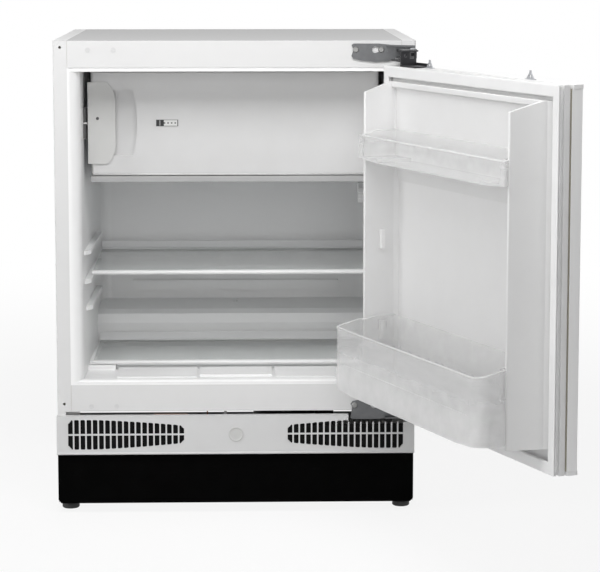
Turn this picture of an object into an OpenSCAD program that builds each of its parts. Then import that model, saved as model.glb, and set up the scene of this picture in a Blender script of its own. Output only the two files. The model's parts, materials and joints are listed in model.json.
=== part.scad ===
// Built-in under-counter refrigerator with an icebox, its door open to the right.
// The origin lies on the floor, in the middle of the width, in the plane of the cabinet's front.
// X runs to the right, Y to the back and Z up. Door pieces are drawn as closed and then swung open.

/* [Cabinet] */
// Width over the side panels
cabinet_width = 596; // [592:1:610]
// Depth of the cabinet without its door
cabinet_depth = 505; // [500:1:530]
// Height from the floor to the top panel with the feet screwed in
cabinet_height = 790; // [786:1:800]
// Thickness of the sheet steel
sheet = 1; // [0.8:0.1:1.4]
// Outer radius of a bend in the side panels
bend_r = 2.5; // [2:0.25:4]
// Width of the side panels' front flanges
side_strip = 23; // [20:1:26]
// Radius of the fixing holes in the front flanges
fixing_hole_r = 2.2; // [1.8:0.1:2.6]
// Distance of the fixing holes from the side
fixing_inset = 11.7; // [9:0.1:14]
// Distance of the upper fixing holes from the top
fixing_drop = 10.7; // [9:0.1:14]
// Height of the lower fixing holes over the lower rail's edge
fixing_rise = 13; // [11:0.5:18]
// Width of the side panels' top flanges
top_strip = 22; // [18:1:28]
// Height of the rail over the opening
top_rail_height = 44; // [42:1:50]
// Height of the rail under the opening
lower_rail_height = 45; // [40:1:48]
// Space left open between the floor and the base
leg_room = 17; // [16:1:20]
// Height of the kickboard
plinth_height = 84; // [78:1:90]
// Height of the ventilation panel
grille_height = 65; // [62:1:68]
// Gap between the ventilation panel and the lower rail
rail_gap = 5.5; // [4:0.5:8]
// Height of the compressor niche at the back, from the base
niche_height = 218; // [212:1:226]
// Foam between the compressor niche and the liner's step
niche_foam = 35; // [30:1:40]

/* [Inner liner] */
// Distance from the cabinet's side to the cold space, at its mouth
side_wall = 43; // [41:0.5:45]
// Narrowing of the cold space on each side, front to back
cavity_narrowing = 6; // [4:1:8]
// Distance from the cold space to the cabinet's back
back_wall = 75; // [65:1:85]
// Thickness of the liner
liner_wall = 2; // [1.5:0.25:2.5]
// Radius of the rounded mouth
mouth_round = 17; // [14:1:18]
// Radius of the liner's back corners
cavity_corner = 20; // [10:1:30]
// Height of the liner's lip under the top rail
top_lip = 6.5; // [5:0.5:8]
// Rise of the sill over the lower rail
sill_rise = 8; // [7:0.5:9]
// Drop from the sill to the floor
floor_drop = 3; // [2:0.5:4]
// Depth of the compressor niche
niche_depth = 136; // [130:1:140]
// Height of the step's front edge over the floor
step_height = 64; // [56:1:70]
// Radius of the drain hole in the step
drain_r = 4; // [3:0.5:5]
// Projection of the shelf supports
support_reach = 10; // [8.5:0.5:12]
// Height of a shelf support
support_height = 7; // [6:0.5:10]
// Distance between shelf levels, as a share of the height under the icebox
support_share = 0.15; // [0.13:0.01:0.17]
// Distance from the front to the shelf supports
support_front = 60; // [58:1:70]

/* [Shelves] */
// Place of the middle shelf between the floor and the icebox, as a share
mid_shelf_share = 0.5; // [0.46:0.01:0.54]
// Height of the lower shelf over the floor
low_shelf_rise = 9; // [8:0.5:12]
// Distance from the front to the middle shelf
mid_shelf_front = 115; // [112:1:125]
// Thickness of the glass
glass_thickness = 4; // [3:0.5:5]
// Height of the front trim
trim_height = 7; // [6.5:0.5:8]
// Depth of the trims, front to back
trim_depth = 11; // [9:1:14]
// Height of the stop at the back of a shelf
shelf_stop = 13; // [10:1:16]
// Clearance between a shelf and what it lies on
seat_gap = 0.3; // [0.2:0.05:0.5]
// Side clearance of the shelves
shelf_side_gap = 3; // [2:0.5:4]

/* [Icebox] */
// Distance from the mouth's side to the evaporator
icebox_margin = 19; // [17:0.5:24]
// Height from the icebox's underside to the liner's ceiling
icebox_height = 190; // [185:1:195]
// Wall of the evaporator
icebox_wall = 1.6; // [1.2:0.1:2.5]
// Distance from the mouth's side to the icebox door's free edge
icebox_door_margin = 14.85; // [13:0.25:17]
// Thickness of the icebox door
icebox_door_thickness = 11.7; // [11:0.1:13]
// Gap over the icebox door
icebox_door_top_gap = 5.5; // [4.5:0.5:8]
// Height of the icebox door
icebox_door_height = 169.5; // [165:0.5:172]
// Height of the handle plate
handle_height = 137; // [120:1:145]
// Width of the handle plate at its middle
handle_width = 46; // [40:1:52]
// Height of the handle plate's sloping corners
handle_corner = 30; // [20:1:40]
// Radius of the icebox door's hinge pins
icebox_pin_r = 3; // [2:0.25:3.5]

/* [Door] */
// Distance from the cabinet's side to the door's edge
door_margin = 16; // [15:0.5:18]
// Height of the door's lower edge over the lower rail's edge
door_rise = 21.5; // [20:0.5:24]
// Thickness of the door with its seal
door_thickness = 40; // [38:0.5:43]
// Distance from the cabinet's top down to the door
door_drop = 38; // [37:0.5:40]
// Opening angle shown, from closed
open_angle = 112; // [105:1:114]
// Distance of the pivot from the door's edge
pivot_inset_x = 4; // [3:0.5:5]
// Distance of the pivot from the door's outer face
pivot_inset_y = 2; // [1:0.5:3]
// Depth of the steel skin's sides
skin_depth = 18; // [16:0.5:19]
// Height of the caps on the ends of the skin
end_cap_height = 6; // [5:0.5:8]
// Thickness of the seal
seal_thickness = 9.3; // [8.5:0.1:10]
// Width of the seal
seal_width = 22; // [20:0.5:23]
// Projection of the liner's cheeks
cheek_depth = 55; // [52:1:57]
// Inward lean of a cheek over its projection
cheek_lean = 11; // [9:1:12]
// Thickness of a cheek at its root
cheek_root = 10; // [8:0.5:11]
// Thickness of a cheek at its tip
cheek_tip = 5; // [4:0.5:6]
// Side clearance between the cheeks and the cold space
cheek_gap = 3.5; // [3:0.5:5]

/* [Door racks] */
// Wall of the racks
rack_wall = 2.2; // [1.6:0.1:2.6]
// Reach of the upper rack from the door's seal plane
upper_rack_depth = 63; // [61:1:65]
// Distance from the door's top down to the upper rack's floor
upper_rack_drop = 148; // [140:1:156]
// Height of the upper rack's front wall
upper_rack_height = 40; // [36:1:46]
// Reach of the lower rack from the door's seal plane
lower_rack_depth = 103; // [98:1:105]
// Height of the lower rack's floor over the door's lower edge
lower_rack_rise = 38.5; // [38:0.5:41]
// Height of the lower rack's front wall
lower_rack_height = 104; // [96:1:112]
// Radius of a rack's front corner on the free side
rack_free_r = 23; // [19:1:28]
// Radius of a rack's front corner on the hinge side
rack_hinge_r = 10; // [8:1:16]
// Width of the hooks that carry a rack
hook_width = 16; // [12:1:20]

/* [Hinges] */
// Thickness of the hinge plates
hinge_sheet = 2.5; // [2:0.25:2.5]
// Length of the plate on the rail
hinge_plate_length = 97; // [92:1:100]
// Radius of the door's pivot pin
pivot_pin_r = 3; // [2.5:0.25:3.5]
// Radius of the guide link's pins
link_pin_r = 2.5; // [2:0.25:2.75]
// Distance from the pivot to the guide link's pin on the bracket
link_ground_reach = 15; // [14:0.5:16]
// Height of the guide link
link_height = 9; // [8:0.5:9]
// Radial clearance of a turning pin
pin_clearance = 0.05; // [0.03:0.01:0.09]
// Distance of the outer plate screw from the plate's inner end
hinge_screw_1 = 7; // [6:0.5:9]
// Distance between the plate's two screws
hinge_screw_span = 42; // [38:1:46]

/* [Base] */
// Radius of a foot's pad
foot_r = 14.6; // [12:0.1:16]
// Height of a foot's pad
foot_pad_height = 11; // [9:0.5:13]
// Radius of a foot's stud
stud_r = 4; // [3:0.25:5]
// Distance of the feet from the cabinet's sides
foot_inset = 18; // [17:0.5:24]
// Distance of the front feet from the front
foot_front = 35; // [25:1:50]
// Distance of the rear feet from the back
foot_back = 45; // [30:1:50]
// Travel of a foot when it is screwed out
foot_travel = 30; // [20:1:32]
// Radius of the compressor shell
compressor_r = 60; // [54:1:62]
// Height of the compressor shell
compressor_height = 150; // [140:1:156]
// Distance of the compressor from the middle
compressor_x = 90; // [60:1:110]
// Radius of the refrigerant tubes
tube_r = 2.5; // [2:0.25:3.5]
// Radius of the hole for the mains lead
lead_hole_r = 3.6; // [3:0.1:4.5]

/* [Ventilation panel] */
// Distance between neighbouring slots
slot_pitch = 10.3; // [9.5:0.1:11]
// Width of a slot
slot_width = 7.9; // [6.5:0.1:8.4]
// Number of slots in each vent
slot_count = 19; // [14:1:19]
// Half height of a vent at its tall end
vent_half_tall = 25.4; // [22:0.2:26]
// Half height of a vent at its narrow end
vent_half_low = 15; // [10:0.5:18]
// Height of the bar between the two rows of slots
vent_bar = 2.6; // [2:0.1:4]
// Distance of a vent from the panel's end
vent_margin = 19; // [15:0.5:24]
// Thickness of the ventilation panel
grille_wall = 2.5; // [2:0.1:3]
// Depth of the ventilation panel
grille_depth = 14; // [12:1:18]

/* [Hidden] */
$fn = 48;
fixed_gap = 0.03;
half_w = cabinet_width / 2;
z_plinth = leg_room;
z_grille = z_plinth + plinth_height;
z_rail = z_grille + grille_height + rail_gap;
z_mouth = z_rail + lower_rail_height;
z_top_rail = cabinet_height - top_rail_height;
z_ceiling = z_top_rail - top_lip;
z_sill = z_mouth + sill_rise;
z_floor = z_sill - floor_drop;
z_niche = leg_room + niche_height;
niche_front = cabinet_depth - niche_depth;
step_front = niche_front - niche_foam - liner_wall;
cavity_depth = cabinet_depth - back_wall;
frame_half = half_w - side_strip;
// The rails end a fine seam short of the side panels' flanges
rail_half = frame_half - 0.4;
cavity_half = half_w - side_wall;
mouth_half = cavity_half + mouth_round;
foam_back = cabinet_depth - sheet;
rear_flange = 14;
rail_return = 14;
drain_y = cavity_depth - 22;

// Half width of the cold space at a distance from the front
function wall_x(y) = cavity_half - cavity_narrowing * y / cavity_depth;

z_icebox = z_ceiling - icebox_height;
z_mid_shelf = z_floor + mid_shelf_share * (z_icebox - z_floor);
support_pitch = support_share * (z_icebox - z_floor);
z_low_shelf = z_floor + low_shelf_rise;
shelf_half = wall_x(cavity_depth) - shelf_side_gap;
mid_shelf_back = cavity_depth - 18;
low_shelf_front = lower_rack_depth + 3.5;
low_shelf_back = step_front - 6;
low_trim_half = wall_x(low_shelf_front + trim_depth) - 2.5;

icebox_front = upper_rack_depth + 9;
icebox_frame_front = icebox_front + icebox_door_thickness + seat_gap;
icebox_frame_depth = 6;
icebox_half = cavity_half - icebox_margin;
icebox_frame_half = icebox_half + 6;
z_icebox_door = z_ceiling - icebox_door_top_gap - icebox_door_height;
icebox_pin_x = icebox_half - 1;
icebox_pin_y = icebox_front + icebox_door_thickness / 2;
icebox_door_left = icebox_door_margin - cavity_half;
icebox_mid_z = z_icebox_door + icebox_door_height / 2;

door_half = half_w - door_margin;
z_door_top = cabinet_height - door_drop;
z_door = z_rail + door_rise;
pivot_x = door_half - pivot_inset_x;
pivot_y = -door_thickness + pivot_inset_y;
skin_back = -door_thickness + skin_depth;
liner_plane = -seal_thickness - 0.8;
dike_half = door_half - seal_width - 2;
dike_margin = door_half - dike_half;
cheek_half = cavity_half - cheek_gap;
cheek_tip_half = cheek_half - cheek_lean;
z_dike = z_sill + 3;
z_dike_top = z_door_top - dike_margin;
panel_face = -3;
panel_recess = -8.6;
z_panel_step = z_door_top - upper_rack_drop - 12;
rack_half = cheek_tip_half - cheek_tip - 4;
rack_front_half = cheek_tip_half + 3;
rack_front_y = cheek_depth + 2;
z_upper_rack = z_door_top - upper_rack_drop;
z_lower_rack = z_door + lower_rack_rise;
hook_reach = 5;
z_upper_hook = z_upper_rack + 34;
z_lower_hook = z_lower_rack + 109;
z_spare_boss = (z_upper_hook + z_lower_hook) / 2;
hook_y = 22;

// The guide link is pinned to the bracket and rides in a slot of the door's arm
link_start = [-22, 9];
link_radius = norm(link_start);
link_start_angle = atan2(link_start[1], link_start[0]);
link_mid_angle = link_start_angle + open_angle / 2;
link_ground = [pivot_x, pivot_y] - link_ground_reach * [cos(link_mid_angle), sin(link_mid_angle)];
link_end_open = [pivot_x, pivot_y]
    + link_radius * [cos(link_start_angle + open_angle), sin(link_start_angle + open_angle)];
link_length = norm(link_end_open - link_ground);
link_slot_inner = link_length - link_ground_reach;
link_end_closed = [pivot_x, pivot_y] + link_start;
link_angle_open = atan2(link_end_open[1] - link_ground[1], link_end_open[0] - link_ground[0]) + 360;
link_angle_closed = atan2(link_end_closed[1] - link_ground[1], link_end_closed[0] - link_ground[0]);
link_ratio = (link_angle_open - link_angle_closed) / open_angle;

// Heights in a hinge, measured outwards from the end of the door
arm_base = 2;
// Height of the top arm's post, and of the lower edge of its window
arm_post = 26;
arm_window = 12;
eye_level = 7;
near_ear = eye_level + hinge_sheet + 0.5;
link_level = near_ear + hinge_sheet + 0.5;
far_ear = link_level + link_height + 0.5;
hinge_x = half_w - 2 - hinge_plate_length - 7;
hinge_outer_x = half_w - 1;
ear_left = pivot_x - 12;
plug_x = hinge_x + hinge_screw_1;
plate_hole_r = 2.6;

foot_x = half_w - foot_inset;
foot_ys = [foot_front, cabinet_depth - foot_back];
stud_top = leg_room + sheet + foot_travel + 14;
nut_height = 12;
compressor_y = foam_back - compressor_r - 8;
z_compressor = leg_room + sheet + 12;
lead_x = -half_w + 78;
lead_z = leg_room + 24;

thermo_front = cheek_depth + 5;
thermo_back = thermo_front + 235;
thermo_x = wall_x(cavity_depth) - 23;
z_thermo = z_icebox - 64;
thermo_height = 58;
knob_y = thermo_front + 165;
lamp_y = thermo_front + 30;
lamp_length = 78;
plunger_x = thermo_x + 13.5;
plunger_r = 4;

steel_white = [0.93, 0.93, 0.93];
plastic_white = [0.95, 0.95, 0.94];
zinc = [0.62, 0.63, 0.65];
black = [0.05, 0.05, 0.05];
clear = [0.86, 0.9, 0.92, 0.45];

// A box given by its lowest and highest corners
module box(low, high) {
    translate(low) cube(high - low);
}

// Something drawn in the YZ plane and drawn out along X between two places
module along_x(x0, x1) {
    translate([x0, 0, 0]) rotate([90, 0, 90]) linear_extrude(x1 - x0) children();
}

// Something drawn in the XZ plane and drawn out along Y between two places
module along_y(y0, y1) {
    translate([0, y1, 0]) rotate([90, 0, 0]) linear_extrude(y1 - y0) children();
}

// Its children and their mirror image in the middle plane
module both_sides() {
    children();
    mirror([1, 0, 0]) children();
}

// Swings a piece that is drawn on the closed door to the angle shown
module on_door() {
    translate([pivot_x, pivot_y, 0]) rotate(open_angle) translate([-pivot_x, -pivot_y, 0]) children();
}

// A flat rectangle with rounded corners
module rounded_rect(low, high, r) {
    translate([low[0] + r, low[1]]) square([high[0] - low[0] - 2 * r, high[1] - low[1]]);
    translate([low[0], low[1] + r]) square([high[0] - low[0], high[1] - low[1] - 2 * r]);
    for (x = [low[0] + r, high[0] - r], y = [low[1] + r, high[1] - r]) translate([x, y]) circle(r);
}

// Plan of the cold space, grown outwards by g, with its flared mouth
module cavity_plan(g) {
    back = cavity_depth + g;
    r = cavity_corner + g;
    hb = wall_x(back - r) + g;
    hf = cavity_half + g;
    polygon([[-hf, 0], [hf, 0], [hb, back - r], [hb - r, back], [r - hb, back], [-hb, back - r]]);
    for (s = [-1, 1]) translate([s * (hb - r), back - r]) circle(r);
    difference() {
        translate([-mouth_half, 0]) square([2 * mouth_half, mouth_round]);
        for (s = [-1, 1]) translate([s * mouth_half, mouth_round]) circle(mouth_round - g);
    }
}

// Height of the step's top, which rises to the back
function step_top(y) = z_floor + step_height + 0.1 * (y - step_front - 22);

// Profile of the step over the compressor, grown by g
module step_profile(g) {
    f = step_front - g;
    y1 = cavity_depth + 20;
    polygon([
        [f, z_floor - 20], [f, step_top(step_front) - 20 + g], [f + 6, step_top(step_front) - 4 + g],
        [f + 22, step_top(step_front + 22) + g], [y1, step_top(y1) + g], [y1, z_floor - 20]
    ]);
}

// Plan of a sheet bent round a front edge on the right side, with a flange that ends at x
module bent_plan(x) {
    r = bend_r;
    translate([half_w - sheet, r]) square([sheet, cabinet_depth - r]);
    translate([x, 0]) square([half_w - r - x, sheet]);
    difference() {
        translate([half_w - r, r]) circle(r);
        translate([half_w - r, r]) circle(r - sheet);
        translate([half_w - 2 * r, r]) square(2 * r);
        translate([half_w - 2 * r - 1, -1]) square([r + 1, 2 * r + 2]);
    }
}

// The two screw holes in a side panel's front flange that hold the cabinet in its niche
module fixing_places() {
    for (z = [cabinet_height - fixing_drop, z_rail + fixing_rise]) {
        translate([half_w - fixing_inset, 0, z]) rotate([-90, 0, 0]) children();
    }
}

module side_panel() {
    color(steel_white) {
        translate([0, 0, leg_room]) linear_extrude(z_rail + 1 - leg_room) bent_plan(half_w - rear_flange);
        difference() {
            translate([0, 0, z_rail]) linear_extrude(cabinet_height - z_rail) bent_plan(frame_half);
            fixing_places() translate([0, 0, -1]) cylinder(r = fixing_hole_r, h = sheet + 2);
        }
        box([half_w - top_strip, 0, cabinet_height - sheet], [half_w, cabinet_depth, cabinet_height]);
        box([half_w - rear_flange, foam_back, leg_room + 60], [half_w, cabinet_depth, cabinet_height]);
    }
}

module side_panel_right() side_panel();

module side_panel_left() mirror([1, 0, 0]) side_panel();

module top_panel() {
    w = half_w - top_strip;
    color([0.76, 0.76, 0.76]) {
        box([-w, 1.5, cabinet_height - sheet], [w, cabinet_depth, cabinet_height]);
        box([rear_flange - half_w, foam_back, cabinet_height - 16],
            [half_w - rear_flange, cabinet_depth, cabinet_height - sheet]);
    }
}

module back_panel() {
    w = half_w - rear_flange;
    color(zinc) difference() {
        union() {
            box([-w, foam_back, z_niche - sheet], [w, cabinet_depth, cabinet_height - 16]);
            box([-w, foam_back - 12, z_niche - sheet], [w, foam_back, z_niche]);
        }
        // Shallow beads pressed in the sheet
        for (z = [z_niche + 120, z_niche + 300]) {
            box([40 - w, cabinet_depth - 0.4, z], [w - 40, cabinet_depth + 1, z + 30]);
        }
    }
}

// The places of the two screws of a hinge plate, or of the plugs opposite to it
module rail_hole_places(z) {
    for (s = [-1, 1], x = [plug_x, plug_x + hinge_screw_span]) {
        translate([s * x, 0, z]) rotate([-90, 0, 0]) children();
    }
}

z_top_screws = z_door_top + 23;
z_low_screws = z_door - 12.5;

module top_rail() {
    color(steel_white) difference() {
        union() {
            box([-rail_half, 0, z_top_rail], [rail_half, sheet, cabinet_height - sheet]);
            box([-rail_half, 0, z_top_rail], [rail_half, rail_return, z_top_rail + sheet]);
            box([-rail_half, 0, cabinet_height - sheet], [rail_half, 1.5, cabinet_height]);
        }
        rail_hole_places(z_top_screws) translate([0, 0, -1]) cylinder(r = 2.6, h = sheet + 2);
    }
}

module lower_rail() {
    color(steel_white) difference() {
        union() {
            box([-rail_half, 0, z_rail], [rail_half, sheet, z_mouth]);
            box([-rail_half, 0, z_rail], [rail_half, rail_return, z_rail + sheet]);
        }
        rail_hole_places(z_low_screws) translate([0, 0, -1]) cylinder(r = 2.6, h = sheet + 2);
    }
}

module screw_plugs() {
    color(plastic_white) for (z = [z_top_screws, z_low_screws], x = [plug_x, plug_x + hinge_screw_span]) {
        translate([-x, 0, z]) rotate([90, 0, 0]) {
            difference() {
                cylinder(r = 4, h = 1);
                translate([0, 0, 0.6]) cylinder(r = 2.4, h = 1);
            }
            translate([0, 0, -sheet]) cylinder(r = 2.6, h = sheet);
        }
    }
}

// What the liner and the step take out of the foam
module liner_block(g) {
    intersection() {
        translate([0, 0, z_floor - g]) linear_extrude(z_ceiling - z_floor + 2 * g) cavity_plan(g);
        box([-half_w, -1, z_floor - g], [half_w, cabinet_depth, z_ceiling + g]);
    }
}

module cabinet_foam() {
    h = half_w - sheet;
    w = mouth_half;
    f = frame_half;
    color([0.93, 0.86, 0.62]) difference() {
        box([-h, sheet, z_rail + sheet], [h, foam_back, cabinet_height - sheet]);
        difference() {
            liner_block(liner_wall);
            along_x(-half_w, half_w) step_profile(0);
        }
        box([-w, -1, z_mouth - liner_wall], [w, mouth_round + liner_wall, z_sill]);
        box([-f, -1, z_mouth], [f, 2 * liner_wall, z_top_rail]);
        box([-w, -1, z_ceiling], [w, rail_return + liner_wall, z_top_rail]);
        box([-f, -1, z_top_rail], [f, rail_return, z_top_rail + sheet]);
        box([-h - 1, niche_front, z_rail - 1], [h + 1, cabinet_depth, z_niche]);
        both_sides() {
            difference() {
                box([h - bend_r, sheet - 1, z_rail], [h + 1, bend_r, cabinet_height]);
                translate([half_w - bend_r, bend_r, z_rail])
                    cylinder(r = bend_r - sheet - 0.02, h = cabinet_height);
            }
        }
        both_sides() fixing_places() cylinder(r = fixing_hole_r + 1.5, h = 22);
        translate([0, drain_y, z_rail]) cylinder(r = drain_r + 2, h = z_ceiling - z_rail - 60);
    }
}

// One shelf support on the right wall, its top at a height, with a lead-in of its own length
module shelf_support(z, y0, y1, lead) {
    r = support_reach;
    translate([0, 0, z - support_height]) linear_extrude(support_height) {
        polygon([
            [wall_x(y0) + 1, y0], [wall_x(y0) - 2, y0], [wall_x(y0 + lead) - r, y0 + lead],
            [wall_x(y1 - 3) - r, y1 - 3], [wall_x(y1) - r + 3, y1], [wall_x(y1) + 1, y1]
        ]);
    }
}

module inner_liner() {
    pad_half = cavity_half - 55;
    pads = [[-pad_half, -66, 27], [-61, 61, 45], [66, pad_half, 27]];
    gutter = pad_half - 10;
    color(plastic_white) difference() {
        union() {
            difference() {
                liner_block(liner_wall);
                along_x(-half_w, half_w) step_profile(0);
                difference() {
                    liner_block(0);
                    along_x(-half_w, half_w) step_profile(liner_wall);
                }
            }
            for (s = [-1, 1]) {
                x = s * (mouth_half + frame_half) / 2;
                dx = (frame_half - mouth_half) / 2;
                box([x - dx, 0, z_mouth], [x + dx, 2 * liner_wall, z_top_rail]);
            }
            // Sill with its round front edge
            difference() {
                along_x(-mouth_half, mouth_half) {
                    translate([sill_rise, z_mouth]) circle(sill_rise);
                    translate([sill_rise, z_mouth]) square([mouth_round + liner_wall - sill_rise, sill_rise]);
                }
                box([-half_w, -1, z_mouth - 2 * sill_rise], [half_w, cabinet_depth, z_mouth]);
            }
            box([-mouth_half, 2 * liner_wall, z_mouth - liner_wall], [mouth_half, mouth_round + 2, z_mouth]);
            // Lip under the top rail
            difference() {
                box([-mouth_half, 1.5, z_ceiling], [mouth_half, rail_return + liner_wall, z_top_rail]);
                box([-mouth_half - 1, 3.5, z_ceiling + liner_wall], [mouth_half + 1, 20, z_top_rail + 1]);
            }
            both_sides() {
                for (k = [-1, 0, 1]) {
                    shelf_support(
                        z_mid_shelf - seat_gap + k * support_pitch,
                        k < 0 ? lower_rack_depth - 18 : support_front, step_front - 10, 14
                    );
                }
                shelf_support(z_low_shelf - seat_gap, low_shelf_front, step_front, 3);
                box(
                    [wall_x(0) - 49, low_shelf_front, z_floor - 0.5],
                    [wall_x(low_shelf_front + 45), low_shelf_front + 45, z_low_shelf - seat_gap]
                );
            }
            for (p = pads) {
                box([p[0], p[2], z_floor - 0.5], [p[1], step_front - 20, z_floor + 4]);
            }
            // Gutter for the melt water along the back wall
            intersection() {
                liner_block(0.5);
                difference() {
                    box([-gutter, cavity_depth - 9, z_floor + step_height + 26],
                        [gutter, cavity_depth + 0.4, z_floor + step_height + 44]);
                    box([2 - gutter, cavity_depth - 7, z_floor + step_height + 34],
                        [gutter - 2, cavity_depth - 2, z_floor + step_height + 45]);
                    translate([0, cavity_depth - 5, z_floor]) cylinder(r = 3, h = step_height + 60);
                }
            }
        }
        translate([0, drain_y, z_floor]) cylinder(r = drain_r, h = step_height + 20);
    }
}

module evaporator() {
    w = icebox_half;
    y0 = icebox_frame_front + icebox_frame_depth;
    y1 = cavity_depth - 2;
    z1 = z_ceiling - seat_gap;
    z0 = z_icebox + 2;
    color([0.85, 0.87, 0.88]) {
        difference() {
            box([-w, y0, z0], [w, y1, z1]);
            box([-w + icebox_wall, y0 - 1, z0 + icebox_wall], [w - icebox_wall, y1 - icebox_wall, z1 - icebox_wall]);
        }
        // Refrigerant channels blown up in the sheet
        for (k = [0:5]) {
            y = y0 + 40 + k * (y1 - y0 - 80) / 5;
            for (z = [z0 + 2.6, z1 - 2.6]) {
                translate([-w + 24, y, z]) rotate([0, 90, 0]) cylinder(r = 2.4, h = 2 * w - 48, $fn = 24);
            }
        }
    }
}

module icebox_frame() {
    w = icebox_frame_half;
    y0 = icebox_frame_front;
    y1 = y0 + icebox_frame_depth;
    color(plastic_white) {
        difference() {
            box([-w, y0, z_icebox], [w, y1, z_ceiling - seat_gap]);
            box([-w + 14, y0 - 1, z_icebox + 13], [w - 14, y1 + 1, z_ceiling - 12]);
        }
        box([-w, y0 - icebox_door_thickness, z_icebox], [w - 0, y0, z_icebox + 10]);
    }
}

// Pins on lugs in front of the frame, over and under the icebox door
module icebox_hinge_pins() {
    r = icebox_door_thickness / 2 - 0.4;
    top = z_icebox_door + icebox_door_height;
    color(plastic_white) {
        for (z = [[top + 0.5, z_ceiling - seat_gap - 0.2], [z_icebox + 10, z_icebox_door - 0.5]]) {
            translate([icebox_pin_x, icebox_pin_y, z[0]]) cylinder(r = r, h = z[1] - z[0]);
            box([icebox_pin_x - r, icebox_pin_y, z[0]], [icebox_pin_x + r, icebox_frame_front, z[1]]);
        }
        translate([icebox_pin_x, icebox_pin_y, top - 8]) cylinder(r = icebox_pin_r, h = 9);
        translate([icebox_pin_x, icebox_pin_y, z_icebox_door - 1]) cylinder(r = icebox_pin_r, h = 9);
    }
}

// Outline of the handle plate, seen from the front, with its two sloping corners
module handle_outline() {
    h = handle_height / 2;
    w = handle_width;
    c = handle_corner;
    translate([icebox_door_left - 6.2, icebox_mid_z]) polygon([
        [0, -h], [0.7 * w, -h], [0.85 * w, 0.24 * c - h], [0.95 * w, 0.6 * c - h], [w, c - h],
        [w, h - c], [0.95 * w, h - 0.6 * c], [0.85 * w, h - 0.24 * c], [0.7 * w, h], [0, h]
    ]);
}

module icebox_door() {
    y0 = icebox_front;
    y1 = y0 + icebox_door_thickness;
    top = z_icebox_door + icebox_door_height;
    r = icebox_door_thickness / 2;
    color(plastic_white) difference() {
        union() {
            box([icebox_door_left + 4, y0, z_icebox_door], [icebox_pin_x, y1, top]);
            box([icebox_door_left, y0 + 4, z_icebox_door], [icebox_pin_x, y1, top]);
            translate([icebox_door_left + 4, y0 + 4, z_icebox_door]) cylinder(r = 4, h = top - z_icebox_door);
            translate([icebox_pin_x, icebox_pin_y, z_icebox_door]) cylinder(r = r, h = top - z_icebox_door);
        }
        // Finger recess beside the handle plate
        along_y(y0 - 1, y0 + 7.5) intersection() {
            translate([icebox_door_left + 22, icebox_mid_z - 55]) square([54, 110]);
            translate([icebox_door_left + 76 - 200, icebox_mid_z]) circle(200, $fn = 160);
        }
        box([icebox_door_left + 12, y1 - 2, z_icebox_door + 8], [icebox_pin_x - 14, y1 + 1, top - 8]);
        translate([icebox_pin_x, icebox_pin_y, z_icebox_door - 1])
            cylinder(r = icebox_pin_r + pin_clearance, h = 9.5);
        translate([icebox_pin_x, icebox_pin_y, top - 8.5])
            cylinder(r = icebox_pin_r + pin_clearance, h = 10);
    }
}

module icebox_handle() {
    y0 = icebox_front - 2.6;
    color([0.86, 0.87, 0.88]) difference() {
        along_y(y0, icebox_front) handle_outline();
        translate([icebox_door_left + 10, y0 - 1, icebox_mid_z + 8]) rotate([-90, 0, 0]) cylinder(r = 2, h = 5);
    }
}

// A strip in two tones with plain dots, set in the icebox door
module rating_plate() {
    x = icebox_door_left + 108;
    z = icebox_mid_z;
    color([0.15, 0.15, 0.15]) difference() {
        box([x, icebox_front - 0.6, z - 5.5], [x + 37, icebox_front, z + 5.5]);
        for (k = [0:2]) {
            translate([x + 20 + 6 * k, icebox_front - 1, z]) rotate([-90, 0, 0]) cylinder(r = 1.4, h = 0.7);
        }
    }
}

module icebox_catch() {
    y = icebox_front - 4;
    z = icebox_mid_z;
    x = -wall_x(y);
    color(plastic_white) difference() {
        translate([0, 0, z - 26]) linear_extrude(52) polygon([
            [x, y], [x + 4, y], [x + 5, y + 2], [x + 5, y + 18], [x + 4, y + 20], [-wall_x(y + 20), y + 20]
        ]);
        for (s = [-1, 1]) box([x + 2, y + 3, z + s * 13 - 9], [x + 6, y + 17, z + s * 13 + 9]);
    }
}

// Glass of a shelf
module shelf_glass(z, y0, y1, half) {
    g = trim_height - glass_thickness;
    box([-half + 1, y0 + 3, z + g / 2], [half - 1, y1 - 3, z + g / 2 + glass_thickness]);
}

// Front trim with a round nose, slotted for the glass
module shelf_trim(z, y, half) {
    g = trim_height - glass_thickness;
    r = trim_height / 2;
    difference() {
        union() {
            box([-half, y + r, z], [half, y + trim_depth, z + trim_height]);
            translate([-half, y + r, z + r]) rotate([0, 90, 0]) cylinder(r = r, h = 2 * half);
        }
        box([-half + 1, y + 3, z + g / 2], [half - 1, y + trim_depth + 1, z + g / 2 + glass_thickness]);
    }
}

// Rear trim with its stop
module shelf_stop(z, y, half) {
    g = trim_height - glass_thickness;
    difference() {
        union() {
            box([-half, y - trim_depth, z], [half, y, z + trim_height]);
            box([-half, y - 3, z], [half, y, z + trim_height + shelf_stop - 1.5]);
            translate([-half, y - 1.5, z + trim_height + shelf_stop - 1.5]) rotate([0, 90, 0])
                cylinder(r = 1.5, h = 2 * half);
        }
        box([-half + 1, y - trim_depth - 1, z + g / 2], [half - 1, y - 3, z + g / 2 + glass_thickness]);
    }
}

module mid_shelf_glass() color([0.7, 0.78, 0.76, 0.4])
    shelf_glass(z_mid_shelf, mid_shelf_front, mid_shelf_back, shelf_half);

module mid_shelf_trim() color(plastic_white) shelf_trim(z_mid_shelf, mid_shelf_front, shelf_half);

module mid_shelf_stop() color(plastic_white) shelf_stop(z_mid_shelf, mid_shelf_back, shelf_half);

module low_shelf_glass() color([0.7, 0.78, 0.76, 0.4])
    shelf_glass(z_low_shelf, low_shelf_front, low_shelf_back, shelf_half);

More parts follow.
